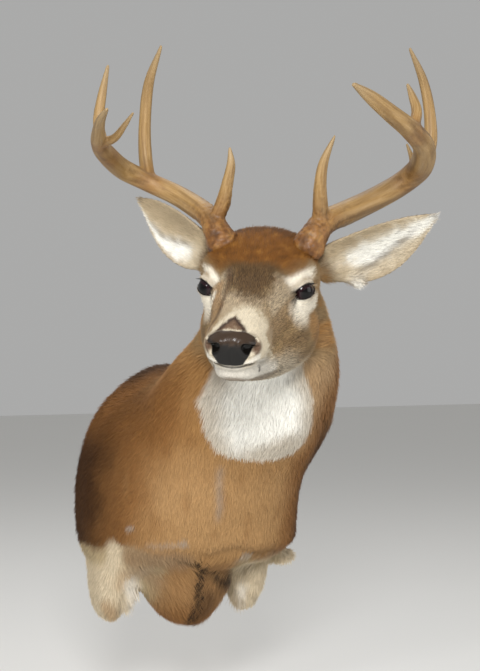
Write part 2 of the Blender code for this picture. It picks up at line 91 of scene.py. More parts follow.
def hill(value, width):
    # 1 where value is 0, falling off over the width
    return np.exp(-(value / width) ** 2)


def unit(vector):
    vector = np.asarray(vector, float)
    return vector / np.maximum(np.linalg.norm(vector, axis=-1, keepdims=True), 1e-9)


def farFrom(points, middle):
    return np.linalg.norm(points - np.asarray(middle), axis=1)


def blend(one, other, share):
    return one * (1 - share) + other * share


def wireUp(tree, node, inputs):
    for name, value in inputs.items():
        if isinstance(value, bpy.types.NodeSocket):
            tree.links.new(value, node.inputs[name])
        else:
            node.inputs[name].default_value = value
    return node


def addNode(tree, kind, settings=None, inputs=None):
    node = tree.nodes.new(kind)
    for name, value in (settings or {}).items():
        setattr(node, name, value)
    return wireUp(tree, node, inputs or {})


def linked(name, data):
    thing = bpy.data.objects.new(name, data)
    bpy.context.scene.collection.objects.link(thing)
    return thing


def reworked(mesh, work):
    # the mesh after work has been done on its editable form
    form = bmesh.new()
    form.from_mesh(mesh)
    work(form)
    form.to_mesh(mesh)
    form.free()
    return mesh


def turnOut(form):
    bmesh.ops.recalc_face_normals(form, faces=form.faces)


def splitLargeFaces(form):
    bmesh.ops.triangulate(form, faces=[face for face in form.faces if len(face.verts) > 4])


def refine(mesh, wanted):
    # split every face whose corners are all wanted, once
    def split(form):
        edges = [edge for edge in form.edges if all(wanted[corner.index] for corner in edge.verts)]
        bmesh.ops.subdivide_edges(form, edges=edges, cuts=1, use_grid_fill=True)
        splitLargeFaces(form)
    reworked(mesh, split)


def settled(thing):
    # the object with its modifiers carried out, as a plain mesh
    graph = bpy.context.evaluated_depsgraph_get()
    mesh = bpy.data.meshes.new_from_object(thing.evaluated_get(graph))
    name = thing.name
    bpy.data.objects.remove(thing)
    mesh.name = name
    return linked(name, mesh)


def readOut(rows, key, width=1, kind=np.float32):
    flat = np.empty(len(rows) * width, kind)
    rows.foreach_get(key, flat)
    return flat.reshape(-1, width) if width > 1 else flat


def positions(mesh):
    return readOut(mesh.vertices, "co", 3).astype(float) / cm


def setPositions(mesh, points):
    mesh.vertices.foreach_set("co", (points * cm).astype(np.float32).ravel())
    mesh.update()


def vertexNormals(mesh):
    return readOut(mesh.vertex_normals, "vector", 3).astype(float)


def edgesOf(mesh):
    return readOut(mesh.edges, "vertices", 2, np.int32)


def store(mesh, name, kind, values):
    layer = mesh.attributes.new(name, kind, "POINT")
    key = {"FLOAT": "value", "FLOAT_VECTOR": "vector", "FLOAT_COLOR": "color"}[kind]
    if kind == "FLOAT_COLOR":
        values = np.concatenate([values, np.ones((len(values), 1))], axis=1)
    layer.data.foreach_set(key, np.asarray(values, np.float32).ravel())


def curve(rows, steps):
    # Catmull-Rom through rows of numbers
    rows = np.asarray(rows, float)
    padded = np.vstack([2 * rows[0] - rows[1], rows, 2 * rows[-1] - rows[-2]])
    samples = []
    for a, b, c, d in zip(padded, padded[1:], padded[2:], padded[3:]):
        for t in np.arange(steps) / steps:
            samples.append(0.5 * (2 * b + (c - a) * t + (2 * a - 5 * b + 4 * c - d) * t * t
                                  + (3 * b - a - 3 * c + d) * t ** 3))
    samples.append(rows[-1])
    return np.array(samples)


def section(middle, across, upright, halfWidth, above, below, squareness=2.0, sides=40):
    angle = 2 * np.pi * np.arange(sides) / sides
    c, s = np.cos(angle), np.sin(angle)
    wide = np.sign(c) * np.abs(c) ** (2 / squareness) * halfWidth
    tall = np.sign(s) * np.abs(s) ** (2 / squareness) * np.where(s > 0, above, below)
    return np.asarray(middle) + wide[:, None] * np.asarray(across) + tall[:, None] * np.asarray(upright)


def levelSection(x, y, level, halfWidth, halfDepth, squareness=2.0):
    # a level cut through the body, given from the breastbone
    return section((body["breastbone"] + x, y, level), (1, 0, 0), (0, -1, 0), halfWidth, halfDepth,
                   halfDepth, squareness)


def loft(rings):
    rings = np.asarray(rings)
    count, sides = rings.shape[:2]
    faces = [(r * sides + i, r * sides + (i + 1) % sides, (r + 1) * sides + (i + 1) % sides,
              (r + 1) * sides + i) for r in range(count - 1) for i in range(sides)]
    faces += [tuple(range(sides))[::-1], tuple((count - 1) * sides + i for i in range(sides))]
    return rings.reshape(-1, 3), faces


def lineDirections(line):
    ends = np.vstack([line[:1], line, line[-1:]])
    return unit(ends[2:] - ends[:-2])


def tubeRings(samples, sides):
    line = samples[:, :3]
    across = np.cross(lineDirections(line)[0], [0.3, 0.2, 1.0])
    rings = []
    for point, heading, radius in zip(line, lineDirections(line), samples[:, 3]):
        across = unit(across - across.dot(heading) * heading)
        rings.append(section(point, across, np.cross(heading, across), radius, radius, radius,
                             sides=sides))
    return rings


def joined(name, lofts):
    vertices, faces, base = [], [], 0
    for points, polygons in lofts:
        vertices += [tuple(point) for point in points * cm]
        faces += [tuple(i + base for i in polygon) for polygon in polygons]
        base += len(points)
    mesh = bpy.data.meshes.new(name)
    mesh.from_pydata(vertices, [], faces)
    mesh.validate()
    return linked(name, reworked(mesh, turnOut))


def addStep(thing, kind, **settings):
    step = thing.modifiers.new(kind.lower(), kind)
    for name, value in settings.items():
        setattr(step, name, value)
    return step


def weld(thing, voxel):
    addStep(thing, "REMESH", mode="VOXEL", voxel_size=voxel)


def grow(thing, distance):
    addStep(thing, "DISPLACE", strength=distance, mid_level=0.0)


def combine(thing, operation, other):
    addStep(thing, "BOOLEAN", operation=operation, object=other, solver="EXACT")
    result = settled(thing)
    bpy.data.objects.remove(other)
    return result


def relax(points, edges, weight, rounds):
    # move each point towards the mean of its neighbours, by its weight
    a, b = edges[:, 0], edges[:, 1]
    count = np.bincount(np.concatenate([a, b]), minlength=len(points))[:, None]
    for _ in range(rounds):
        total = np.zeros_like(points)
        for axis in range(3):
            total[:, axis] = (np.bincount(a, points[b, axis], len(points))
                              + np.bincount(b, points[a, axis], len(points)))
        points = points + weight[:, None] * 0.5 * (total / np.maximum(count, 1) - points)
    return points


def ripple(points, size, seed=0):
    # smooth noise from -1 to 1 over features of that size in cm
    shift = Vector((seed * 7.1, seed * 3.7, seed * 5.3))
    return np.array([noise.noise(Vector(p) / size + shift) for p in points])


def ripples(points, size, *seeds):
    return np.stack([ripple(points, size, seed) for seed in seeds], 1)


body = {
    "breastbone": -1.6,
    # height, middle from the breastbone, half width, reach from the wall, squareness
    "trunk": [(-13.0, 0.5, 9.0, 10.0, 2.2), (-11.0, 1.4, 13.8, 16.2, 2.4), (-8.5, 2.3, 16.0, 18.8, 2.6),
              (-5.0, 2.0, 16.2, 21.2, 2.5), (0.0, 1.8, 16.0, 23.6, 2.25), (5.0, 1.6, 14.9, 24.6, 2.1),
              (10.0, 1.2, 12.4, 21.0, 2.0), (13.7, 0.5, 8.2, 13.0, 2.0), (16.2, 0.1, 4.3, 5.6, 2.0),
              (17.3, 0.0, 1.2, 1.6, 2.0)],
    # middle x from the breastbone, y, z, half width, half depth
    "neck": [(1.0, -5.0, -6.0, 9.0, 7.0), (3.0, -9.5, -0.5, 12.6, 7.6), (4.1, -14.0, 5.5, 13.4, 8.8),
             (4.7, -18.8, 11.0, 13.0, 9.8), (5.4, -23.6, 16.2, 11.0, 9.7), (4.6, -27.4, 21.2, 8.6, 8.7),
             (3.3, -30.2, 26.2, 6.5, 6.9), (2.6, -31.4, 30.4, 4.8, 4.8)],
    # level, middle y, half width, half depth
    "brisket": [(-8.0, -8.6, 8.6, 7.0), (-11.5, -8.6, 7.8, 6.8), (-14.5, -8.6, 6.8, 6.2),
                (-17.0, -8.6, 5.2, 5.2), (-19.2, -8.6, 3.2, 3.8), (-20.1, -8.6, 1.4, 2.0)],
    # level, middle from the breastbone, middle y, half width, half depth
    "foreleg": [(-6.0, 9.4, -7.4, 4.2, 5.4), (-10.0, 10.0, -7.0, 3.7, 5.0),
                (-13.5, 10.3, -6.6, 3.3, 4.5), (-16.5, 10.4, -6.3, 2.7, 3.8),
                (-18.6, 10.3, -6.2, 1.8, 2.8), (-19.6, 10.2, -6.2, 0.8, 1.4)],
    "stubLift": {"right": 0.0, "left": 0.5},
    "elbowFold": (15.4, -8.2, -11.4), "elbowFoldSize": (2.4, 2.2, 1.1),
    "boardFront": 1.95,         # the flesh starts this far in front of the wall
    "coatDepth": 0.2,           # the skin lies this far inside the solids
    "fillet": 7.0, "filletVoxel": 0.007, "filletSmoothing": 12,
    "voxel": 0.0042, "smoothing": 100, "leastSmoothing": 0.05, "smoothFade": 4.0,
    "headLine": -9.0, "headLean": -0.45, "legTop": -10.8,
}

head = {
    "place": (-3.7, -37.9, 26.8), "turn": -34.5, "dip": 25.0, "tilt": 3.0,
    # forward, top, widest level, underside, half width
    "skull": [(-11.6, 2.0, -0.6, -3.4, 2.6), (-10.2, 3.8, 0.0, -6.0, 4.6), (-7.6, 4.9, 0.2, -8.0, 6.5),
              (-4.6, 5.1, 0.2, -8.6, 7.2), (-1.6, 4.8, 0.1, -8.2, 7.2), (1.2, 4.2, -0.3, -7.4, 6.4),
              (3.8, 3.5, -0.8, -6.2, 5.1), (6.6, 3.0, -1.1, -4.9, 4.4), (9.6, 2.7, -1.1, -3.9, 3.9),
              (12.4, 2.5, -0.9, -3.3, 3.7), (14.8, 2.5, -0.6, -2.9, 3.5), (16.6, 2.35, -0.4, -2.7, 3.1),
              (17.7, 2.0, -0.2, -2.3, 2.6), (18.3, 1.4, 0.0, -1.6, 1.8)],
    "jaw": [(-8.0, -3.0, -5.5, -8.4, 3.6), (-6.0, -2.0, -5.4, -10.6, 6.0), (-3.0, -1.5, -5.8, -11.4, 7.0),
            (0.5, -1.5, -5.8, -11.2, 6.9), (4.0, -1.6, -5.6, -10.2, 6.0), (7.5, -1.9, -5.0, -8.7, 4.8),
            (10.8, -2.2, -4.4, -7.1, 3.5), (13.4, -2.4, -4.0, -5.6, 2.9), (15.2, -2.4, -3.5, -4.9, 2.5),
            (16.6, -2.4, -3.3, -4.3, 1.9), (17.1, -2.6, -3.2, -3.8, 1.3)],
    "skullSquareness": 2.25, "jawSquareness": 2.3,
    "rounds": {"head": 6, "earRoots": 14, "lids": 45},         # rounds of smoothing
    "coatDepth": 0.08,
}

eyes = {
    "place": (0.2, 5.4, 0.0), "radius": 1.68, "gaze": (0.75, 0.64, 0.12),
    "cornerDrop": 9.0,         # degrees that the front corner lies below the back one
    # opening between the lids, in shares of the ball's radius, and how full its almond shape is
    "halfLength": 1.04, "upper": 0.54, "lower": 0.33, "almond": 2.1,
    "lidThickness": 0.15, "sinkInside": 0.28, "offBall": 0.3,
    "lidFold": (0.07, 0.42, 0.13),              # depth, way outside the rim, width
    # the hide is drawn to the ball: start and end outside the rim, farthest from the ball's middle
    "orbit": (0.0, 2.6, 4.6), "lids": (0.2, 0.85, 3.8),
    "cornea": 0.07, "pupil": (0.62, 0.34), "irisReach": 0.95,
    # from the pupil's middle out to the rim
    "irisColours": [(0.0, "#020202"), (0.45, "#060304"), (0.62, "#221014"), (0.9, "#150a0a"),
                    (1.0, "#060403")],
}

lashes = {"count": 26, "length": 0.62, "radius": 0.017, "droop": 0.35, "colour": "#120d0a"}

# soft lumps and hollows of the face, both sides alike:
# forward, left, up, reach along each of them, height in cm (minus for a hollow)
facePads = {
    "brow": (-0.6, 5.6, 2.6, 2.0, 1.2, 0.9, 0.42),
    "browFront": (2.0, 4.4, 2.6, 1.2, 1.0, 0.8, 0.22),
    "tearPit": (3.3, 5.2, -0.1, 1.5, 1.2, 0.7, -0.30),
    "underEye": (1.0, 6.8, -2.3, 2.2, 1.4, 0.8, 0.20),
    "cheekRidge": (4.4, 4.9, -2.0, 3.0, 1.2, 0.8, 0.22),
    "cheekHollow": (6.8, 4.5, -3.4, 2.6, 1.6, 1.1, -0.38),
    "muzzleSide": (9.8, 4.0, -1.2, 2.6, 1.4, 1.4, -0.24),
    "muzzlePad": (14.2, 3.4, -1.3, 1.8, 1.2, 1.2, 0.34),
    "lipCorner": (12.0, 3.3, -3.4, 1.6, 1.0, 0.6, 0.12),
    "nostrilWing": (16.3, 2.7, 0.5, 0.7, 0.7, 0.8, 0.26),
    "bridgeEdge": (9.0, 2.0, 2.4, 4.0, 0.7, 0.7, 0.14),
    "chin": (15.2, 1.0, -4.2, 1.2, 1.2, 0.8, 0.20),
    "jawMuscle": (-1.5, 7.0, -6.4, 2.6, 1.8, 2.4, 0.30),
    "foreheadDip": (3.5, 0.0, 3.4, 2.2, 1.6, 0.8, -0.15),
    "noseFront": (17.9, 0.0, 0.3, 0.9, 2.0, 1.5, 0.16),
}

mouth = {
    "line": [(18.2, 0.0, -2.05), (18.0, 0.9, -1.95), (17.7, 1.8, -1.75), (16.9, 2.6, -1.9),
             (15.7, 2.9, -2.3), (14.3, 2.95, -2.9), (12.9, 3.1, -3.4), (11.4, 3.4, -3.9)],
    "corner": [(15.6, 2.95, -2.3), (15.0, 2.95, -3.2), (14.6, 2.8, -4.1)],
    "halfWidth": 0.26, "depth": 0.36,
    "lips": (0.12, 0.5, 0.25),                  # height, way from the line, width
}

jawCrease = {
    "line": [(2.6, 1.6, -12.0), (0.4, 3.0, -12.4), (-1.8, 4.8, -12.0), (-3.6, 6.3, -11.0),
             (-4.9, 7.5, -9.4), (-5.6, 8.0, -7.2)],
    "halfWidth": 1.0, "depth": 0.75,
}

nose = {
    # by the level, half the width of the bare pad
    "padHalfWidths": ([-1.85, -1.7, -1.4, -0.3, 0.8, 1.5, 2.0, 2.15],
                      [-0.2, 0.8, 1.4, 2.05, 2.7, 2.45, 1.4, -0.2]),
    "nostril": (2.0, 0.32), "nostrilSize": (1.02, 0.56), "nostrilSlant": 24.0, "nostrilDepth": 0.9,
    "nostrilInward": 0.35, "nostrilRim": 0.07, "groove": 0.10, "grooveWidth": 0.12,
}

ears = {
    "left": {"root": (-6.2, 6.0, 0.4), "tip": (-7.0, 20.8, 7.4), "opens": (0.9, -0.05, -0.05), "bow": 1.2},
    "right": {"root": (-6.4, -5.8, 0.8), "tip": (-13.4, -17.0, 6.0), "opens": (0.8, -0.45, 0.1),
              "bow": -0.8},
    "curl": 0.5, "points": 30, "steps": 6,
    # share of the length, half width, cup depth, thickness
    "form": [(0.00, 1.9, 0.1, 2.4), (0.12, 2.5, 0.5, 2.0), (0.28, 3.1, 1.3, 1.1), (0.45, 3.3, 1.3, 0.7),
             (0.62, 3.0, 1.0, 0.55), (0.78, 2.2, 0.6, 0.5), (0.90, 1.25, 0.25, 0.45),
             (0.97, 0.55, 0.1, 0.4), (1.00, 0.2, 0.0, 0.3)],
}

hairColours = {
    "crown": "#704618", "crownGold": "#93642a", "crownDark": "#4c2f13", "browGrey": "#554027",
    "greyTan": "#ab9a80", "bridgeTan": "#95805f", "streak": "#4b3422", "cheek": "#8a7250",
    "cheekGrey": "#9a866a", "cheekTan": "#9a7448", "ringWhite": "#e9e1d0", "bandCream": "#d6cab2",
    "muzzleSide": "#8f7451", "wedge": "#6d5541", "wedgeDark": "#33221a", "jawShade": "#6f604c",
    "muzzleRust": "#4f301c", "lipWhite": "#e6e0d2", "chinWhite": "#d6d0c4", "jawPale": "#a99c87",
    "mouthDark": "#1c1410", "tear": "#35281e", "throatWhite": "#fbf9f1", "throatGrey": "#c3b8a6",
    "neckTan": "#b0916b", "neckGold": "#a57b49", "chestTan": "#a37d50", "chestLight": "#ad885b",
    "shoulder": "#80552a", "flank": "#42280f", "back": "#3b230f", "armpit": "#ad9a78", "stub": "#cbbb9f",
    "keel": "#9a744a", "keelDark": "#5c4128", "seam": "#17100a", "armpitGrey": "#96795a",
    "stubTan": "#a98c69", "stubWhite": "#e4dccd", "bareGrey": "#9c9287", "earBack": "#8b7459",
    "earWhite": "#f6f4ec", "earRim": "#a08a69", "earTan": "#cab898", "earCream": "#dbd1bd",
    "earFold": "#5b4a39", "lidBlack": "#1a130f", "noseBlack": "#0f0d0b", "noseBrown": "#3b2d22",
}


# airbrushed marks of the face in head directions, under the cream and the blaze: colour, strength, reach
# in cm, softness of the edge in cm, whether the other side has it too, and the line it follows
underMarks = [
    ("cheekGrey", 0.7, 1.5, 1.6, True, [(4.0, 3.9, 1.4), (8.1, 3.5, 0.2), (11.0, 3.2, -0.6)]),
    ("greyTan", 0.85, 0.9, 1.2, True, [(3.4, 3.6, 2.2), (5.4, 3.9, 1.2), (8.3, 3.4, 0.9)]),
    ("greyTan", 0.75, 1.1, 1.6, True, [(9.6, 0.6, 2.5), (12.2, 0.6, 2.4)]),
    ("cheekTan", 0.8, 1.2, 1.2, True, [(-0.5, 6.6, -5.0), (-3.0, 7.0, -7.4), (-5.6, 7.3, -8.6)]),
    ("streak", 0.35, 0.35, 0.9, True, [(2.2, 6.0, -5.2), (4.6, 5.3, -4.6), (6.8, 4.6, -3.8)]),
    ("streak", 0.30, 0.3, 0.9, True, [(-1.6, 6.8, -6.2), (1.2, 6.4, -7.2), (4.2, 5.2, -7.0)]),
    ("cheekTan", 0.6, 0.7, 0.8, False, [(4.6, -3.8, 1.7), (7.6, -3.5, 1.0), (10.6, -2.8, 1.2)]),
]

# drawn over the cream and the blaze
faceMarks = [
    # the first mark is painted shadow along the edge of the bridge, on the right side only
    ("streak", 0.75, 0.16, 0.5, False, [(2.4, -2.7, 3.0), (6.0, -2.3, 2.6), (10.1, -2.4, 2.0),
                                        (12.8, -2.5, 1.7), (14.6, -3.0, 0.8)]),
    ("ringWhite", 0.95, 0.32, 0.6, False, [(2.9, 4.5, 1.0), (1.9, 4.5, 1.9), (0.5, 5.4, 2.0),
                                           (-1.2, 6.4, 1.7)]),
    ("ringWhite", 0.95, 0.22, 0.5, False, [(2.3, -4.5, 1.6), (0.6, -5.3, 2.0), (-1.2, -6.4, 1.7)]),
    ("ringWhite", 0.9, 0.45, 0.6, False, [(5.4, -3.9, 0.7), (5.6, -4.4, -0.6), (4.0, -5.0, -1.6)]),
    ("ringWhite", 0.95, 0.85, 0.9, True, [(2.9, 5.0, -0.4), (1.4, 5.9, -1.6), (-0.4, 6.6, -1.9)]),
    ("ringWhite", 0.8, 0.7, 1.5, True, [(2.9, 5.3, -1.9), (1.6, 5.9, -2.5)]),
    ("ringWhite", 0.5, 0.3, 1.2, True, [(4.6, 4.5, -0.9), (3.0, 5.2, -1.4)]),
    ("tear", 0.95, 0.14, 0.16, True, [(1.9, 5.0, 0.65), (2.5, 4.85, 0.35), (3.0, 4.7, 0.05)]),
    ("tear", 0.4, 0.02, 0.3, True, [(3.0, 4.7, 0.05), (3.5, 4.6, -0.5), (3.6, 4.7, -1.1)]),
    ("muzzleRust", 0.85, 0.35, 0.7, True, [(17.0, 2.3, 1.3), (17.0, 2.7, 0.7), (17.0, 2.8, 0.1)]),
    ("muzzleRust", 0.6, 0.1, 0.5, True, [(17.0, 2.7, 0.1), (17.1, 2.3, -0.6)]),
    ("lipWhite", 0.95, 0.30, 0.35, True, [(16.8, 2.9, -1.15), (17.6, 2.4, -1.1), (18.1, 1.6, -1.5)]),
    ("chinWhite", 0.95, 1.1, 0.9, True, [(13.6, 2.2, -3.7), (15.6, 1.9, -3.5), (17.1, 0.4, -3.0)]),
    ("chinWhite", 0.9, 1.2, 1.0, True, [(16.4, 0.4, -4.4), (13.6, 1.6, -4.6), (10.6, 2.2, -5.6)]),
]

# cream edge of the nose pad, drawn over all of them
creamRim = ("bandCream", 0.85, 0.05, 0.13, True, [(16.8, 2.95, 0.9), (16.8, 2.6, 1.75), (16.95, 1.4, 2.3),
                                                  (17.05, 0.0, 2.45)])

# marks of the body: colour, strength, reach, softness, and the line in cm on the three world axes
bodyMarks = [
    ("armpitGrey", 0.8, 1.4, 1.6, [(-11.0, -13.2, -8.6), (-8.5, -15.2, -8.6), (-6.0, -16.6, -8.6)]),
    ("armpitGrey", 0.6, 1.0, 1.6, [(-10.2, -11.8, -11.0), (-8.0, -12.5, -12.4)]),
    ("stub", 0.95, 0.9, 1.0, [(-13.0, -12.3, -7.7), (-13.2, -11.4, -9.8), (-13.6, -10.0, -12.6),
                              (-13.4, -9.4, -15.0)]),
    ("stubWhite", 0.95, 0.6, 1.0, [(-10.7, -10.6, -12.8), (-9.9, -10.2, -14.4), (-10.2, -9.4, -16.0)]),
    ("stubTan", 0.8, 0.6, 1.2, [(-12.8, -9.2, -16.2), (-12.4, -8.9, -18.2)]),
    ("stubTan", 0.5, 0.3, 0.9, [(-11.9, -11.2, -10.6), (-12.1, -10.4, -12.8)]),
    ("stubWhite", 0.8, 0.5, 0.9, [(7.4, -9.4, -15.0), (7.2, -8.2, -17.0)]),
    ("bareGrey", 0.4, 0.10, 0.35, [(-9.9, -16.5, -6.7), (-6.7, -18.7, -6.6), (-5.2, -19.1, -6.7)]),
    # painted shade on the keel beside the seam
    ("keelDark", 0.7, 0.7, 1.3, [(2.6, -13.6, -12.8), (4.6, -12.0, -13.4)]),
    ("keelDark", 0.7, 0.5, 1.2, [(0.4, -14.0, -14.0), (0.6, -13.0, -16.5)]),
    ("armpit", 0.8, 0.2, 0.6, [(9.0, -11.2, -11.0), (12.2, -9.7, -10.9), (14.6, -8.6, -11.4)]),
    ("seam", 0.9, 0.18, 0.35, [(-1.6, -15.9, -10.9), (0.3, -15.2, -11.5), (2.6, -13.7, -12.9),
                               (4.4, -12.4, -13.0)]),
    ("seam", 0.7, 0.08, 0.3, [(-2.8, -16.3, -10.2), (-5.0, -16.8, -9.3), (-6.2, -16.8, -8.9)]),
    ("seam", 1.0, 0.42, 0.50, [(-2.6, -16.5, -9.9), (-1.8, -15.3, -11.7), (-1.7, -14.8, -13.4),
                               (-1.6, -14.1, -15.4), (-1.2, -13.0, -17.5), (-1.0, -12.0, -19.4)]),
    ("seam", 0.85, 0.10, 0.25, [(-2.4, -16.2, -10.3), (-3.3, -16.8, -9.5)]),
    ("seam", 0.85, 0.10, 0.25, [(-2.0, -15.9, -10.6), (-1.8, -16.8, -9.4)]),
    ("seam", 0.85, 0.10, 0.25, [(-1.8, -15.6, -11.0), (-0.7, -16.0, -10.2)]),
]

# small worn spots of the chest: across, level, half width, half height
wornSpots = [(-11.8, -4.5, 0.45, 0.35), (-5.9, -6.2, 0.6, 0.4), (4.4, -9.1, 1.0, 0.35)]

# outlines of the markings in cm, each as places and the values there
faceLines = {
    # by the way forward: the grey blaze's middle and half width, the jaw's lower edge, the hair's length
    "blazeMiddle": ([2, 4.5, 7.4, 9.6, 11.5], [0.2, 0.2, 0.4, 0.8, 0.9]),
    "blazeHalf": ([1, 2.5, 4.5, 7.4, 9.6, 11.6], [3.4, 3.1, 2.7, 2.0, 1.3, 0.3]),
    "jawEdge": ([8.0, 13.4, 15.2, 16.6, 17.1], [-7.0, -5.6, -4.9, -4.3, -3.8]),
    "hairLength": ([-8, 0, 6, 12, 15, 16.5], [1.1, 0.75, 0.55, 0.45, 0.34, 0.22]),
    # by the way to the left: where the muzzle's cream begins on the bridge
    "creamEdge": ([-3.4, -2.4, -1.6, -0.8, 0.3, 1.0, 2.3, 3.2],
                  [14.6, 14.9, 13.7, 12.1, 11.0, 10.9, 11.3, 11.8]),
}
bodyLines = {
    # by the level: the chest's middle, the flanks' dark edge from it, the throat patch's sides, the crease
    "chestMiddle": ([-9, 2, 12, 20], [-0.9, -0.9, 0.6, 2.2]),
    "flankEdge": ([-9, -3, 2, 7, 9.3, 12, 16, 22], [12.2, 11.8, 11.4, 10.6, 10.2, 10.0, 10.2, 10.4]),
    "throatLeft": ([4.9, 5.6, 6.5, 9.4, 13.3, 15.5, 18, 21],
                   [2.5, -1.8, -3.6, -5.2, -6.2, -5.4, -4.2, -3.0]),
    "throatRight": ([4.9, 5.6, 7.1, 9.6, 12.6, 14.5, 17, 21], [3.0, 7.2, 8.3, 8.4, 7.5, 6.4, 4.6, 3.2]),
    "shoulderCrease": ([-8, -3, 2, 7, 9.3, 12], [-14.4, -14.2, -13.5, -12.6, -11.4, -9.3]),
    # by the way across: the level where the pale armpits begin
    "armpitTop": ([-14.8, -11.9, -8.4, -4.4, 1.5, 5.4, 12.2], [-7.9, -6.9, -8.2, -8.9, -9.3, -9.4, -10.8]),
}
# by the share of the ear's length: upper and lower edge of its white core, and its dark fold, in shares of
# the half width
earLines = {
    "left": {"edge": ([0.1, 0.35, 0.7, 1.0], [0.10, 0.42, 0.52, 0.60]),
             "low": ([0.1, 0.35, 0.7, 1.0], [-0.30, -0.45, -0.15, -0.50]),
             "fold": ([0.30, 0.50, 0.80], [-0.60, -0.30, 0.05])},
    "right": {"edge": ([0.1, 0.35, 0.6, 1.0], [0.10, -0.12, -0.50, -0.70]),
              "low": ([0, 1], [-0.90, -0.90]),
              "fold": ([0.1, 0.35, 0.6, 1.0], [0.10, -0.12, -0.50, -0.70])},
}

# tufts of longer hair that break the outline: world place in cm and reach
fringePlaces = [((-10.4, -9.9, -14.9), 1.1), ((-9.4, -9.6, -14.8), 0.9), ((7.0, -8.0, -16.6), 0.7)]

# white tuft at the lower edge of the left ear: its place along the ear, and how much longer its hair is
earTuft = {"share": 0.26, "longer": 0.35}

antlers = {
    "left": {
        "beam": [(-4.6, 5.4, 3.0, 1.7), (-5.4, 6.4, 4.8, 1.8), (-7.6, 7.6, 6.0, 1.6),
                 (-10.8, 10.2, 6.3, 1.6), (-14.2, 13.6, 7.1, 1.56), (-15.9, 16.8, 8.7, 1.56),
                 (-14.6, 18.9, 11.3, 1.6), (-10.0, 19.3, 15.2, 1.4), (-5.2, 17.8, 18.7, 1.25),
                 (-1.8, 15.7, 21.5, 1.08), (0.7, 13.6, 24.0, 0.84), (2.9, 11.7, 26.1, 0.32)],
        "tines": [[(-6.8, 7.0, 5.7, 1.0), (-6.6, 7.1, 8.4, 1.0), (-6.5, 7.1, 11.2, 0.84),
                   (-6.9, 7.5, 14.0, 0.64), (-7.5, 8.8, 17.2, 0.24)],
                  [(-14.9, 18.6, 10.8, 1.0), (-16.6, 19.8, 13.2, 0.95), (-18.0, 19.7, 16.8, 0.8),
                   (-18.8, 18.7, 21.0, 0.66), (-17.9, 16.9, 25.4, 0.28)],
                  [(-5.8, 18.0, 18.2, 0.8), (-7.9, 18.4, 20.0, 0.7), (-9.5, 17.8, 21.4, 0.55),
                   (-11.1, 17.0, 22.7, 0.26)],
                  [(-15.7, 17.2, 9.1, 0.8), (-17.7, 17.7, 10.8, 0.5), (-19.7, 16.8, 12.7, 0.24)]],
    },
    "right": {
        "beam": [(-4.2, -4.4, 3.2, 1.7), (-4.9, -5.4, 4.9, 1.75), (-6.8, -6.8, 6.3, 1.5),
                 (-9.2, -9.1, 6.9, 1.46), (-11.2, -12.0, 7.7, 1.38), (-11.9, -15.6, 9.0, 1.34),
                 (-10.2, -18.6, 11.3, 1.36), (-5.6, -19.4, 14.8, 1.26), (-2.2, -19.1, 17.0, 1.0),
                 (1.2, -18.1, 19.2, 0.85), (4.6, -16.7, 21.8, 0.62), (7.5, -15.0, 24.0, 0.28)],
        "tines": [[(-6.0, -6.2, 5.7, 1.0), (-6.2, -5.0, 8.4, 1.0), (-6.3, -4.4, 10.8, 0.8),
                   (-6.7, -3.9, 13.3, 0.62), (-7.2, -4.1, 15.5, 0.24)],
                  [(-11.7, -15.6, 9.1, 0.95), (-13.8, -16.4, 11.8, 0.92), (-15.2, -16.6, 15.6, 0.84),
                   (-16.2, -16.0, 20.8, 0.72), (-15.9, -14.0, 25.8, 0.28)],
                  [(-6.0, -19.5, 14.5, 0.85), (-8.5, -20.8, 17.5, 0.75), (-9.9, -20.6, 20.4, 0.66),
                   (-10.9, -19.7, 24.5, 0.28)],
                  [(-2.0, -18.9, 17.1, 0.75), (-0.4, -16.6, 18.3, 0.55), (0.8, -14.8, 20.4, 0.4),
                   (1.5, -13.6, 22.0, 0.24)]],
    },
}

antlerForm = {
    "voxel": 0.0016, "rounding": 9, "sides": 20, "steps": 8, "inset": 0.03,
    "burrHeight": 1.9, "burrReach": 0.6, "burrOut": 0.32, "burrKnobs": 0.16,
    "pearls": 0.10, "pearlSize": 0.42, "roughReach": 11.0, "grooves": 0.035,
    "tineStart": 6,                                                # the grain's run where a tine begins
}
antlerColours = {
    "streaks": [(0.26, "#7b5c36"), (0.44, "#987848"), (0.62, "#a8895c"), (0.82, "#b89d74")],
    "stains": [(0.30, "#513013"), (0.50, "#7d5227"), (0.75, "#a37a42")],
    "tip": "#a18a66", "pit": "#4a2e14",
}

# number of tufts, width and height of a tuft in mm, how far it stands in degrees, shares of
# the length laid on the skin
coat = {
    "face": {"tufts": 80000, "width": 0.50, "height": 0.16, "stand": 7.0, "length": 1.0, "pieces": 2},
    "poll": {"tufts": 32000, "width": 0.70, "height": 0.22, "stand": 8.0, "length": 1.0, "pieces": 1},
    "ears": {"tufts": 36000, "width": 0.55, "height": 0.20, "stand": 13.0, "length": 1.0, "pieces": 1},
    "neck": {"tufts": 90000, "width": 0.85, "height": 0.26, "stand": 6.5, "length": 1.0, "pieces": 2},
    "chest": {"tufts": 92000, "width": 0.85, "height": 0.26, "stand": 6.0, "length": 1.0, "pieces": 2},
    "fringe": {"tufts": 2200, "width": 0.60, "height": 0.3, "stand": 34.0, "length": 1.9, "pieces": 1},
    "legs": {"tufts": 40000, "width": 0.80, "height": 0.24, "stand": 7.0, "length": 1.0, "pieces": 1},
}
coatForm = {
    "jitter": 0.2,          # how far the lie strays from tuft to tuft
    "patch": 0.003,         # width of a tuft's patch on the unwrap
    # one tuft: way along it, half width, height of the ridge
    "blade": [(0.0, 0.42, 0.10), (0.55, 0.50, 0.55)],
}

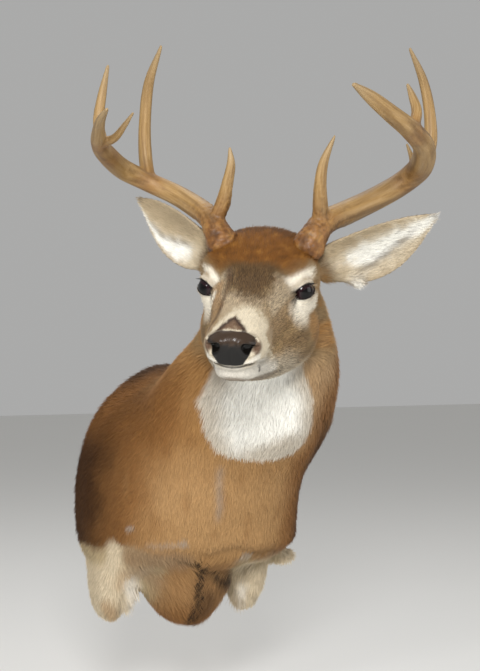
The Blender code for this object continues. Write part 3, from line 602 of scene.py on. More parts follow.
stage = {
    "floorColour": "#e9e8e5", "floorDrop": 0.34, "floorSize": 14.0, "airColour": "#e4e4e3",
    "camera": (-0.701, -1.822, 0.21), "azimuth": -24.0, "lens": 70.07,
    "key": {"place": (-0.9, -2.2, 1.0), "size": 0.6, "power": 44.0},
    "fill": {"place": (1.9, -1.9, 0.5), "size": 1.4, "power": 12.0},
    "top": {"place": (0.2, 0.6, 2.0), "size": 1.6, "power": 14.0},
    "catch": {"place": (-1.25, -0.95, 0.55), "size": 0.22, "power": 4.2},       # the glint in the eyes
    "air": 0.52, "aim": (-0.05, -0.3, 0.18),
}

turn, dip, tilt = (Matrix.Rotation(math.radians(head[name]), 3, axis)
                   for name, axis in (("turn", "Z"), ("dip", "X"), ("tilt", "Y")))
headAxes = np.array([turn @ dip @ tilt @ Vector(axis) for axis in ((0, -1, 0), (1, 0, 0), (0, 0, 1))])


def inHead(point):
    return np.array(head["place"]) + np.asarray(point, float) @ headAxes


def fromHead(points):
    return (points - np.array(head["place"])) @ headAxes.T


def trunkLoft():
    return loft([levelSection(middle, 0, level, halfWidth, reach, squareness)
                 for level, middle, halfWidth, reach, squareness in curve(body["trunk"], 2)])


def neckLoft():
    samples = curve(body["neck"], 3)
    line = samples[:, :3] + [body["breastbone"], 0, 0]
    rings = []
    for point, heading, (halfWidth, halfDepth) in zip(line, lineDirections(line), samples[:, 3:]):
        across = unit(np.array([1, 0, 0]) - heading[0] * heading)
        rings.append(section(point, across, np.cross(heading, across), halfWidth, halfDepth, halfDepth))
    return loft(rings)


def headLoft(part):
    return loft([section(inHead((forward, 0, level)), headAxes[1], headAxes[2], halfWidth, top - level,
                         level - underside, head[part + "Squareness"])
                 for forward, top, level, underside, halfWidth in curve(head[part], 2)])


def legLofts():
    lofts = [loft([levelSection(0, y, level, halfWidth, halfDepth)
                   for level, y, halfWidth, halfDepth in body["brisket"]])]
    for side, outwards in sideSigns.items():
        lift = body["stubLift"][side]
        lofts.append(loft([levelSection(outwards * x, y, level + lift * (level < body["legTop"]), *halves)
                           for level, x, y, *halves in body["foreleg"]]))
    x, y, z = body["elbowFold"]
    wide, deep, tall = body["elbowFoldSize"]
    lofts.append(loft([levelSection(x, y, z + tall * math.sin(a), wide * math.cos(a), deep * math.cos(a))
                       for a in np.radians(np.linspace(-84, 84, 15))]))
    return lofts


def earFrame(side):
    form = ears[side]
    root, tip = inHead(form["root"]), inHead(form["tip"])
    along = unit(tip - root)
    opens = np.asarray(form["opens"]) @ headAxes
    opens = unit(opens - opens.dot(along) * along)
    return root, along, opens, np.cross(along, opens), np.linalg.norm(tip - root)


def earLoft(side):
    root, along, opens, across, length = earFrame(side)
    half = ears["points"] // 2
    rings = []
    for share, halfWidth, cup, thickness in curve(ears["form"], ears["steps"]):
        middle = root + share * length * along + ears[side]["bow"] * math.sin(math.pi * share) * across
        ring = []
        for step in range(ears["points"]):
            front = step < half
            reach = math.cos(math.pi * (step if front else ears["points"] - step) / half)
            edge = math.sqrt(max(0.0, 1 - reach * reach))
            depth = -cup * (1 - reach * reach) + (0.5 if front else -0.5) * thickness * edge
            ring.append(middle + reach * halfWidth * across + (depth + ears["curl"] * cup) * opens)
        rings.append(ring)
    return loft(rings)


def earPlace(points, side):
    # share along the ear, share across it, and depth towards its open side
    root, along, opens, across, length = earFrame(side)
    offset = points - root
    share = offset @ along / length
    table = curve(ears["form"], ears["steps"])
    halfWidth, cup = (np.interp(share, table[:, 0], table[:, column]) for column in (1, 2))
    sag = ears[side]["bow"] * np.sin(np.pi * np.clip(share, 0, 1))
    reach = (offset @ across - sag) / halfWidth
    depth = offset @ opens + cup * (1 - np.clip(reach, -1, 1) ** 2) - ears["curl"] * cup
    return share, reach, depth


def bladeMask(points, side, wide, deep, far):
    # 1 on the free blade of an ear, out to those shares of its width and length and that depth in cm
    share, reach, depth = earPlace(points, side)
    return (np.abs(reach) < wide) * (np.abs(depth) < deep) * smoothStep(0.06, 0.16, share) * (share < far)


def bodySkin():
    form = joined("body form", [trunkLoft(), neckLoft()])
    weld(form, body["filletVoxel"])
    grow(form, body["fillet"] * cm)
    weld(form, body["filletVoxel"])
    addStep(form, "SMOOTH", iterations=body["filletSmoothing"])
    grow(form, -body["fillet"] * cm)
    form = settled(form)
    rest = joined("rest form", [headLoft("skull"), headLoft("jaw"), *legLofts()])
    reworked(form.data, lambda whole: whole.from_mesh(rest.data))
    bpy.data.objects.remove(rest)
    weld(form, body["voxel"])
    skin = settled(form)
    points = positions(skin.data)
    place = fromHead(points)
    belowHead = body["headLine"] - place[:, 2] + body["headLean"] * place[:, 0]
    weight = np.minimum(belowHead, points[:, 2] - body["legTop"]) / body["smoothFade"]
    weight = np.clip(weight, body["leastSmoothing"], 1)
    setPositions(skin.data, relax(points, edgesOf(skin.data), weight, body["smoothing"]))
    return skin


def halfSpace(name, point, normal, size=1.2):
    # a large box that lies on the side normal points to
    lay = Vector(normal).to_track_quat("Z", "Y").to_matrix().to_4x4()
    place = Matrix.Translation(Vector(point) * cm) @ lay @ Matrix.Translation((0, 0, size / 2))
    return linked(name, reworked(bpy.data.meshes.new(name),
                                 lambda form: bmesh.ops.create_cube(form, size=size, matrix=place)))


def eyeFrame(side):
    mirror = np.array([1, sideSigns[side], 1])
    gaze = unit(np.array(eyes["gaze"]) * mirror)
    ahead = np.array([0.7, -0.7, 0.0]) * mirror
    ahead = unit(ahead - ahead.dot(gaze) * gaze)
    upright = np.cross(gaze, ahead)
    upright = upright * np.sign(upright[2])
    drop = math.radians(eyes["cornerDrop"])
    ahead, upright = (ahead * math.cos(drop) - upright * math.sin(drop),
                      upright * math.cos(drop) + ahead * math.sin(drop))
    return np.array(eyes["place"]) * mirror, gaze, ahead, upright


def lidDistance(place, side):
    # distance in cm outside the rim of the lids, over the ball; large behind the ball
    middle, gaze, ahead, upright = eyeFrame(side)
    way = unit(place - middle)
    y = way @ upright
    height = np.where(y > 0, eyes["upper"], eyes["lower"])
    spread = np.abs(way @ ahead / eyes["halfLength"]) ** eyes["almond"] + np.abs(y) / height
    return np.where(way @ gaze > -0.1, (spread - 1) * 0.5 * eyes["radius"], outOfReach)


def lidEdge(place):
    # the same for both eyes, over the balls only, growing with the way off them
    return np.min([np.maximum(lidDistance(place, side),
                              farFrom(place, eyeFrame(side)[0]) - eyes["radius"] - eyes["offBall"])
                   for side in sideSigns], 0)


def drawToBalls(place, start, end, within, level):
    # bring the hide round each eye to a level over the ball, between two distances outside the lids
    for side in sideSigns:
        middle = eyeFrame(side)[0]
        way = place - middle
        radius = np.linalg.norm(way, axis=1)
        distance = lidDistance(place, side)
        target = blend(level(distance), radius, smoothStep(start, end, distance))
        moved = (radius < within) & (distance < end)
        place[moved] = middle + way[moved] / radius[moved, None] * target[moved, None]
    return place


def orbitLevel(distance):
    return eyes["radius"] + eyes["lidThickness"]


def lidLevel(distance):
    depth, middle, width = eyes["lidFold"]
    inside = (1 - smoothStep(-0.07, 0.07, distance)) * (eyes["sinkInside"] + eyes["lidThickness"])
    return orbitLevel(distance) - inside - depth * hill(distance - middle, width)


def folded(place):
    # both sides of the face laid on the left one
    return place * [1, 0, 1] + np.abs(place) * [0, 1, 0]


def lineDistance(place, line, both=False):
    # distance in cm from a line drawn on its own side only, or on both sides of the face
    place = folded(place) if both else place
    near = np.full(len(place), outOfReach)
    for stop in curve(line, 8):
        away = farFrom(place, stop)
        near = np.minimum(near, np.sqrt(away ** 2 - min(away.min(), 0.5) ** 2))     # along the surface
    return near


def shapeFace(place, normals):
    lift = np.zeros(len(place))
    for pad in facePads.values():
        lift += pad[6] * np.exp(-(((folded(place) - pad[:3]) / pad[3:6]) ** 2).sum(1))
    near = lineDistance(place, mouth["line"], True)
    lipHeight, lipPlace, lipWidth = mouth["lips"]
    lift += lipHeight * hill(near - lipPlace, lipWidth) - mouth["depth"] * hill(near, mouth["halfWidth"])
    place = place + lift[:, None] * normals
    f, l, u = place.T
    onPad = faded((16.8, 17.4, f), (1.2, -0.4, u), (-2.0, -1.6, u))
    f -= nose["groove"] * hill(l, nose["grooveWidth"]) * onPad
    # nostrils: slanted ovals that lead in and back, with a low rim
    slant = math.radians(nose["nostrilSlant"])
    for outwards in sideSigns.values():
        dx, dz = outwards * l - nose["nostril"][0], u - nose["nostril"][1]
        longWay = dx * math.cos(slant) - dz * math.sin(slant)
        shortWay = dx * math.sin(slant) + dz * math.cos(slant) - 0.25 * longWay ** 2
        hole = np.hypot(longWay / nose["nostrilSize"][0], shortWay / nose["nostrilSize"][1])
        ahead = smoothStep(15.4, 16.2, f) * (outwards * l > 0)
        depth = nose["nostrilDepth"] * smoothStep(1.05, 0.35, hole) * ahead
        f += nose["nostrilRim"] * hill(hole - 1.35, 0.3) * ahead - depth
        l -= outwards * nose["nostrilInward"] * depth
    return place


def creases(points, normals, headness):
    # soft folds of the hide on the trunk: shoulder crease, elbow folds, thin seams
    lift = np.zeros(len(points))
    x, y, z = points.T
    onShoulder = faded((-4, -8, y), (-9, -3, z), (13, 9, z))
    for outwards in sideSigns.values():
        across = outwards * (0.2 - x) - np.interp(z, *bodyLines["shoulderCrease"])
        lift += onShoulder * (0.18 * hill(across + 2.6, 1.6) - 0.35 * hill(across, 0.9))
    ledge = -8.4 + 0.5 * np.sin(x * 0.35 + 1.0) + 0.25 * np.sin(x * 0.9)
    fold = 0.22 * hill(z - ledge - 1.1, 1.0) - 0.30 * hill(z - ledge + 0.7, 0.9)
    lift += smoothStep(-10, -14, y) * fold
    for bend in range(3):       # curved folds that run from the armpit up over the brisket's sides
        centre = np.array([-9.5 - 1.5 * bend, -15.5 + 1.5 * bend, -12.0 - 1.0 * bend])
        for middle in (centre, centre * [-1, 1, 1] + [-1.0, 0, 0]):
            away = farFrom(points, middle) - 3.4 - 0.9 * bend
            lift -= 0.22 * hill(away, 0.45) * smoothStep(-8.5, -10.5, z)
    lift -= 0.16 * hill(x + 1.9 + 0.25 * np.sin(z * 0.9), 0.22) * faded((-9.2, -10.2, z), (-9, -11, y))
    lift += 0.05 * ripple(points, 2.6, 1) + 0.10 * ripple(points, 6.5, 2)
    jaw = lineDistance(fromHead(points), jawCrease["line"], True)
    lift = lift * (1 - headness) - jawCrease["depth"] * hill(jaw, jawCrease["halfWidth"])
    return points + lift[:, None] * normals


def detailWanted(points, level):
    # where the skin is split: first over the head, then round the eyes and nose, then at lids and nostrils
    place = fromHead(points)
    f, l, u = place.T
    fromEyes = [farFrom(place, eyeFrame(side)[0]) for side in sideSigns]
    if level == 0:
        isEar = np.zeros(len(points), bool)
        for side in sideSigns:
            share, reach, depth = earPlace(points, side)
            isEar |= (share > 0.1) & (share < 1.1) & (np.abs(reach) < 1.15) & (np.abs(depth) < 1.6)
        return (f > -7.5) & (u > -10.5 + 0.12 * f) & (np.abs(l) < 9) & ~isEar
    if level == 1:
        return (np.minimum(*fromEyes) < 3.0) | (f > 14.4)
    wanted = (f > 16.2) & (np.abs(l) > 0.6) & (np.abs(u - 0.3) < 1.1)
    for away, side in zip(fromEyes, sideSigns):
        wanted |= (away < 3.0) & (np.abs(lidDistance(place, side)) <= 0.45)
    return wanted


def buildSkin():
    skin = bodySkin()
    for side in sideSigns:
        skin = combine(skin, "UNION", joined("ear form", [earLoft(side)]))
    say("flesh form joined to the ears")
    for level in range(3):
        refine(skin.data, detailWanted(positions(skin.data), level))
    points = positions(skin.data)
    edges = edgesOf(skin.data)
    f, l, u = fromHead(points).T
    earBlade = np.maximum(*(bladeMask(points, side, 1.3, 2.0, 1.2) for side in sideSigns))
    earRoot = np.zeros(len(points))
    for side in sideSigns:
        share, reach, depth = earPlace(points, side)
        close = (np.abs(reach) < 1.4) & (np.abs(depth) < 3.2)
        earRoot = np.maximum(earRoot, close * faded((-0.12, 0.0, share), (0.26, 0.1, share)))
    headness = faded((-12.5, -10.5, u - 0.12 * f), (-9.5, -8.0, f))
    points = relax(points, edges, headness * (1 - earBlade), head["rounds"]["head"])
    points = relax(points, edges, earRoot, head["rounds"]["earRoots"])
    setPositions(skin.data, points)
    normals = vertexNormals(skin.data)
    inset = blend(body["coatDepth"], head["coatDepth"], headness) * (1 - earBlade)
    points = creases(points, normals * (1 - earBlade)[:, None], headness) - normals * inset[:, None]
    place = shapeFace(fromHead(points), normals @ headAxes.T * (headness * (1 - earBlade))[:, None])
    place = drawToBalls(place, *eyes["orbit"], orbitLevel)
    lidZone = np.minimum(*(lidDistance(place, side) for side in sideSigns))
    nearby = (np.abs(place[:, 1]) > 2) * (np.abs(place[:, 0]) < 5)
    nearby = nearby * faded((5.0, 3.0, lidZone), (-0.2, 0.3, lidZone))
    place = relax(place, edges, nearby, head["rounds"]["lids"])
    points = inHead(drawToBalls(place, *eyes["lids"], lidLevel))
    points = relax(points, edges, 0.6 * headness * (place[:, 0] > 12.0), 1)
    setPositions(skin.data, points)
    skin = combine(skin, "INTERSECT", halfSpace("wall side", (0, -body["boardFront"], 0), (0, -1, 0)))
    skin.name = "skin"
    skin.data.name = "skin"
    skin.data.shade_smooth()
    reworked(skin.data, splitLargeFaces)
    say(f"skin shaped, {len(skin.data.vertices)} points")
    return skin


def brush(colour):
    # lays a hair colour on by its strength and by smooth steps of low, high and value
    def lay(name, strength, *steps):
        share = np.clip(strength * faded(*steps) * np.ones(len(colour)), 0, 1)[:, None]
        colour[:] = blend(colour, np.array(toLinear(hairColours[name])), share)
    return lay


def layMarks(lay, marks, place, waver, core, *steps):
    # airbrushed lines: waver moves the edge, and core is how far inside the reach the colour is full, in
    # shares of the softness
    for name, strength, reach, soft, *both, line in marks:
        distance = lineDistance(place, line, *both) + waver(name, soft)
        lay(name, strength, (reach + soft, reach - core * soft, distance), *steps)


def nosePad(place):
    f, l, u = place.T
    half = np.interp(u, *nose["padHalfWidths"])
    return faded((half + 0.10, half - 0.06, np.abs(l + 0.05)), (16.9, 17.1, f + 0.16 * np.abs(l)))


def paintHead(place):
    f, l, u = place.T
    aside = np.abs(l)
    colour = np.zeros((len(place), 3))
    lay = brush(colour)
    wander = 0.30 * ripple(place, 1.3, 3) + 0.16 * ripple(place, 0.4, 4)
    streaks = ripple(place * [0.3, 1, 1], 0.35, 9)              # mixed hairs that run back from the nose
    fine = 0.5 * streaks + ripple(place, 0.5, 23)
    lay("cheek", 1)
    lay("streak", 0.22 * np.clip(streaks, 0, 1), (3.0, 4.5, aside))
    lay("jawPale", 1, (-5.8 + 0.1 * f, -7.6 + 0.1 * f, u + wander), (6.3, 4.6, aside))
    lay("jawPale", 0.85, (4, 9, f), (-3.6, -5.4, u + 0.2 * (9 - f) + wander))
    lay("bridgeTan", 0.6, (1.2, 2.2, u), (4, 8, f))
    layMarks(lay, underMarks, place, lambda name, soft: wander, 0)
    # cream round the muzzle, its darker sides, and the grey blaze down the bridge
    outer = 0.5 + blend(10.6 + 0.25 * (u + 2), np.interp(l, *faceLines["creamEdge"]),
                        smoothStep(0.2, 1.4, u))
    lay("bandCream", 0.92, (-1.1, 1.1, f - outer + 1.2 * wander + 0.9 * fine), (-4.6, -3.6, u + 0.4 * fine))
    lay("greyTan", 0.55, (0.0, 0.8, streaks), (10, 12, f), (16.5, 15, f))
    lay("muzzleSide", 0.75, (-0.2, 0.5, 14.6 - f + 0.5 * fine), (0.9, 0.2, u), (2.4, 3.0, aside),
        (-3.2, -2.4, u))
    lay("muzzleSide", 0.8, (-2.1, -2.8, l + 0.3 * fine), (16.6, 15.8, f), (-2.6, -1.8, u), (9.0, 11.0, f))
    lay("cheekGrey", 0.45, (13.6, 11.6, f + wander), (10.8, 11.8, f), (0.4, -0.6, u), (-4.6, -3.6, u))
    middle, half = (np.interp(f, *faceLines[name]) for name in ("blazeMiddle", "blazeHalf"))
    lay("browGrey", 1, (half + 1.1, half - 1.1, np.abs(l - middle) + wander + 0.7 * fine),
        (12.2, 7.6, f + wander + fine), (0.6, 2.2, u))
    layMarks(lay, faceMarks + [creamRim], place, lambda name, soft: 0.5 * wander * soft, 0.3)
    # rusty crown, mottled with dark and gold
    cap = f - (2.1 - 0.050 * l * l - 0.0012 * l ** 4 + wander)
    mottle = ripple(place, 1.0, 14) + 0.6 * ripple(place, 0.4, 15)
    lay("crown", 1, (0.7, -0.9, cap), (0.9, 2.0, u + 0.22 * (f + 3)))
    lay("crownDark", 0.75, (-4.0, -7.0, f - 0.08 * u + wander), (-1.5, 1.0, u))
    lay("crownDark", 0.5, (0.1, 0.7, mottle), (0.0, -1.0, cap))
    lay("crownGold", 0.6, (0.1, 0.8, -mottle), (0.0, -1.0, cap))
    lay("back", 0.7, (-7.0, -9.0, f), (-3.5, 0.5, u))
    # brown wedge that runs down to the nose between the cream bands
    wedge = (f - 14.1) * 0.66 - np.abs(l + 0.15) + 0.4 * wander + 0.25 * fine
    top = (0.9, 1.5, u)
    lay("wedge", 1, (-0.3, 0.3, wedge), top)
    lay("wedgeDark", 0.95 * hill(wedge - 0.26, 0.36), top, (13.6, 14.4, f))
    lay("greyTan", 0.45, (0.9, 1.5, wedge), (0.0, 0.6, fine), top)
    layMarks(lay, [creamRim], place, lambda name, soft: 0, 0)
    # painted shadow along the jaw's lower edge, dark lips with painted shadow in the mouth's groove,
    # painted shade in the creases down from the mouth's corners, then lids and nose
    lay("jawShade", 0.8, (0.60, 0.15, u - np.interp(f, *faceLines["jawEdge"])), (7, 10, f))
    lay("mouthDark", 0.85, (0.24, 0.08, lineDistance(place, mouth["line"], True)), (13.6, 15.2, f))
    lay("tear", 0.95, (0.34, 0.10, lineDistance(place, mouth["corner"], True)))
    lids = lidEdge(place)
    lay("ringWhite", 0.5, (0.7, 0.3, lids + 0.5 * wander))
    lay("lidBlack", 1, (0.17, 0.09, lids))
    pad = nosePad(place)
    lay("noseBlack", pad)
    lay("noseBrown", 0.9 * pad, (0.2, 1.4, u + 0.6 * wander + 0.35 * fine))
    lay("noseBlack", 0.8 * pad, (2.0, 1.5, np.hypot(aside - 2.0, 1.4 * (u - 0.4))), (1.3, 0.6, u))
    return colour


def paintBody(points):
    x, y, z = points.T
    colour = np.zeros((len(points), 3))
    lay = brush(colour)
    wander = 0.8 * ripple(points, 3.2, 5) + 0.35 * ripple(points, 1.0, 6)
    drawn = ripple(points * [1, 1, 0.3], 1.6, 7)               # long soft streaks down the coat
    lay("neckTan", 1)
    lay("neckGold", 1, (2.5, -3.5, x + wander))
    lay("chestTan", 1, (10, 4, z + wander), (-8, -13, y))
    lay("chestLight", 0.7, (4.5, 0, z + wander), (-17, -20, y))
    # dark flanks, upper side of the neck and withers: the coat's darker colour, and on the flanks also
    # painted shade where the body turns away from the light
    chestMiddle, flankEdge = (np.interp(z, *bodyLines[name]) for name in ("chestMiddle", "flankEdge"))
    edge = np.abs(x - chestMiddle) - flankEdge
    behind = smoothStep(-17, -6, y + 0.8 * wander)
    dark = smoothStep(-0.4, 2.6, edge + 0.9 * wander) * (0.85 + 0.15 * behind)
    dark = np.maximum(dark, 0.85 * behind) * smoothStep(-9.5, -7.5, z + 0.4 * wander)
    over = -y - 0.72 * (z - 8) - 2.5 + wander
    lay("shoulder", 0.85, (-4.2, 0.4, edge + wander))
    lay("flank", dark, (22, 9, z - 0.5 * (y + 14) * (y < -14) + wander))
    lay("shoulder", 0.85, (4.5, 0.0, over), (6, 10, z))
    lay("back", 0.8, (1.0, -5.0, over), (4, 10, z))
    lay("back", 0.6, (-6.0, -2.0, y + 0.5 * wander), (-4, 8, z))
    lay("shoulder", 0.30 * (1 - dark), (0.1, 0.7, drawn))
    lay("chestLight", 0.20 * (1 - dark), (0.2, 0.8, -drawn))
    lay("shoulder", 0.5, (-6.0, -9.0, x + wander), (4, 9, z))
    # white throat patch with a square rounded foot
    left, right = (np.interp(z, *bodyLines[name]) for name in ("throatLeft", "throatRight"))
    inside = np.minimum(x - left, right - x) + 0.35 * wander
    front = faded((-19, -22, y + 0.1 * (z - 6)), (12, 15, over), (4.8, 5.5, z + 0.3 * wander))
    rimward = np.maximum(smoothStep(3.4, 0.4, inside), smoothStep(9.0, 5.5, z - 0.3 * x + wander))
    lay("throatWhite", front, (-0.35, 0.45, inside))
    lay("throatGrey", 0.9 * rimward * front, (-0.3, 0.3, inside))
    # thin-haired streak down the chest and worn spots
    streak = hill(x + 2.6 - 0.35 * (4 - z) / 3, 0.45 + 0.2 * np.abs(drawn))
    lay("bareGrey", 0.45 * streak, (5, 3.5, z), (-4, -2, z), (-16, -19, y))
    for middleX, middleZ, wide, high in wornSpots:
        spot = ((x - middleX) / wide) ** 2 + ((z - middleZ) / high) ** 2 + 1.5 * wander
        lay("bareGrey", 0.75, (1.8, 0.4, spot), (-13, -15, y))
    # pale armpits and stubs, tan keel, and painted shade low along the keel's middle
    aside = np.abs(x + 1.6)
    lay("armpit", 1, (0.5, -0.6, z - np.interp(x, *bodyLines["armpitTop"]) + 0.4 * wander),
        (3.6, 5.6, aside + 0.4 * wander))
    lay("stub", 0.9, (-9.0, -11.0, z + 0.4 * wander), (6.6, 8.0, aside))
    lay("keel", 0.9, (6.4, 4.8, aside + 0.5 * wander), (-9.0, -10.2, z))
    lay("shoulder", 0.7, (-14.0, -18.0, z), (6.0, 4.0, aside))
    lay("keelDark", 0.55, (2.6, 0.6, np.abs(x + 1.4) + 0.3 * wander), (-10.5, -12, z))
    jagged = 0.22 * ripple(points, 0.6, 16) + 0.12 * ripple(points, 0.25, 24)
    layMarks(lay, bodyMarks, points, lambda name, soft: jagged if name == "seam" else 0.6 * wander, 0.3,
             (-7.5, -8.5, y))
    return colour


def paintEars(points, colour, masks):
    for side, lines in earLines.items():
        share, reach, depth = earPlace(points, side)
        inner = smoothStep(-0.05, 0.12, depth)
        upper = -sideSigns[side] * reach
        wander = ripple(points, 0.9, 8)
        edge, low, fold = (np.interp(share, *lines[name]) for name in ("edge", "low", "fold"))
        core = faded((0.10, -0.12, upper + 0.15 * wander - edge),
                     (-0.12, 0.10, upper + 0.15 * wander - low))
        own = colour.copy()
        lay = brush(own)
        lay("earBack", 1)
        lay("earRim", 0.6, (0.6, 0.9, np.abs(reach)))
        lay("earCream", inner)
        lay("earWhite", inner * core, (0.16, 0.34, share + 0.1 * wander))
        lay("earTan", 0.8 * inner, (-0.05, 0.30, upper + 0.25 * wander - edge))
        lay("earRim", 0.5 * inner, (0.0, 0.6, upper + 0.3 * wander - edge))
        lay("earTan", 0.55 * inner, (0.05, -0.35, upper + 0.25 * wander - low))
        lay("earRim", 0.5 * inner, (-0.78, -0.95, upper + 0.15 * wander))
        lay("earTan", 0.7 * inner, (0.30, 0.12, share + 0.1 * wander))
        lay("earFold", 0.55 * inner, (0.16, 0.03, np.abs(upper - fold)), (0.22, 0.34, share),
            (0.86, 0.72, share))
        lay("crown", 0.5 * (1 - inner), (0.35, 0.1, share))
        lay("earFold", 0.5, (0.90, 0.99, share))
        lay("earRim", 0.35 * inner * (1 - core), (0.2, 0.8, ripple(points, 0.35, 25)))
        colour = blend(colour, own, masks[side][:, None])
    return colour


def hairLie(points, place, normals, headness, armpit, masks, fringe):
    # back from the nose, down the neck, down and back on the trunk, along the ears
    count = len(points)
    headness, armpit, fringe = headness[:, None], armpit[:, None], fringe[:, None]
    onFace = (headAxes.T @ np.array([-1.0, 0.0, 0.12]))[None, :] * np.ones((count, 1))
    outwards = np.sign(place[:, 1:2]) * smoothStep(0.5, 4.0, np.abs(place[:, 1:2]))
    onFace = onFace + 0.35 * outwards * headAxes[1] - 0.45 * smoothStep(0, -6, place[:, 2:3]) * headAxes[2]
    flank = smoothStep(7, 14, np.abs(points[:, :1] - 0.2))
    onTrunk = np.array([0.0, 0.15, -1.0]) + flank * [0.0, 0.55, 0.0]
    onBody = blend(np.array([0.0, 0.50, -0.86]), onTrunk, smoothStep(12, 4, points[:, 2:3]))
    lie = blend(onBody, unit(onFace), headness)
    inward = -0.9 * np.sign(points[:, 0] + 1.6) * smoothStep(13.0, 10.0, np.abs(points[:, 0] + 1.6))
    lie = blend(lie, np.stack([inward, np.zeros(count), np.full(count, -0.6)], 1), 0.6 * armpit)
    for side in sideSigns:
        lie = blend(lie, earFrame(side)[1], masks[side][:, None])
    lie = unit(blend(lie, np.array([0.1, -0.6, -0.8]), fringe)) + 0.22 * ripples(points, 4.0, 11, 12, 13)
    return unit(lie - (lie * normals).sum(1, keepdims=True) * normals)


def dress(skin):
    mesh = skin.data
    points = positions(mesh)
    x, y, z = points.T
    place = fromHead(points)
    f, l, u = place.T
    headness = faded((-12.0, -9.5, u - 0.12 * f), (-9.5, -7.0, f))
    headness = np.where(f > 4, np.maximum(headness, smoothStep(-13, -10.5, u)), headness)
    masks = {side: bladeMask(points, side, 1.25, 1.6, 1.15) for side in sideSigns}
    isEar = np.maximum(*masks.values())
    colour = blend(paintBody(points), paintHead(place), headness[:, None])
    colour = paintEars(points, colour, masks)
    share, reach, depth = earPlace(points, "left")
    lobe = masks["left"] * hill(share - earTuft["share"], 0.05) * hill(reach - 0.95, 0.2)
    brush(colour)("earWhite", lobe)
    fringe = np.max([lobe, *(np.exp(-(farFrom(points, middle) / reach) ** 4)
                             for middle, reach in fringePlaces)], 0)
    armpit = faded((-7.5, -10, z), (-8, -13, y))
    lids = lidEdge(place)
    pad = nosePad(place)
    grain = 1 + 0.05 * ripple(points, 0.35, 21)
    store(mesh, "hairColour", "FLOAT_COLOR", np.clip(colour * grain[:, None], 0, 1))
    store(mesh, "hairLie", "FLOAT_VECTOR",
          hairLie(points, place, vertexNormals(mesh), headness, armpit, masks, fringe))
    store(mesh, "speckle", "FLOAT", headness * faded((-1.0, 0.4, f - 3.0), (13, 9, f)))
    store(mesh, "wetness", "FLOAT", np.maximum(pad, headness * smoothStep(0.2, 0.1, lids)))

    # length in cm: on the body, the face and the ears
    earInside = np.zeros(len(points))
    for side in sideSigns:
        share, reach, depth = earPlace(points, side)
        inside = masks[side] * faded((-0.05, 0.1, depth), (0.95, 0.45, np.abs(reach)))
        earInside = np.maximum(earInside, inside)
    long = 1.15 + 0.35 * faded((6, 10, z), (-16, -21, y)) + 0.5 * armpit
    long = blend(long, np.interp(f, *faceLines["hairLength"]) + 0.5 * smoothStep(-5, -10, u), headness)
    long = blend(long, 0.42 + 0.75 * earInside, isEar)
    long = long * (1 - 0.45 * headness * smoothStep(1.6, 0.3, lids)) * (1 + earTuft["longer"] * lobe)
    store(mesh, "hairLength", "FLOAT", long)

    # bare places: nose pad, lids, mouth line, round the burrs, and the cut at the wall
    lips = lineDistance(place, mouth["line"], True)
    bare = [pad, headness * smoothStep(0.16, 0.06, lids),
            headness * faded((0.30, 0.16, lips), (13.6, 15.2, f)), smoothStep(-2.05, -1.97, y)]
    for antler in antlers.values():
        bare.append(smoothStep(1.5, 1.2, farFrom(points, inHead(antler["beam"][0][:3]))))
    cover = 1 - np.max(bare, 0)
    onFace, onUpper, onLegs = smoothStep(-4, -1, f), smoothStep(9.5, 10.5, z), smoothStep(-7.5, -8.5, z)
    onHead, onBody = headness * (1 - isEar), (1 - headness) * (1 - isEar)
    shares = {"fringe": fringe * (fringe > 0.2), "face": onHead * onFace, "poll": onHead * (1 - onFace),
              "ears": isEar, "neck": onBody * onUpper, "chest": onBody * (1 - onUpper) * (1 - onLegs),
              "legs": onBody * (1 - onUpper) * onLegs}
    for name, share in shares.items():
        store(mesh, "cover_" + name, "FLOAT", share * cover)
    say("markings and lie of the coat laid on")


def unwrapSkin(skin):
    skin.data.uv_layers.active = skin.data.uv_layers.new(name="OFBake")
    bpy.ops.object.select_all(action="DESELECT")
    skin.select_set(True)
    bpy.context.view_layer.objects.active = skin
    bpy.ops.object.mode_set(mode="EDIT")
    bpy.ops.mesh.select_all(action="SELECT")
    bpy.ops.uv.smart_project(angle_limit=1.15, island_margin=0.004, scale_to_bounds=True)
    bpy.ops.object.mode_set(mode="OBJECT")
    say("skin unwrapped")


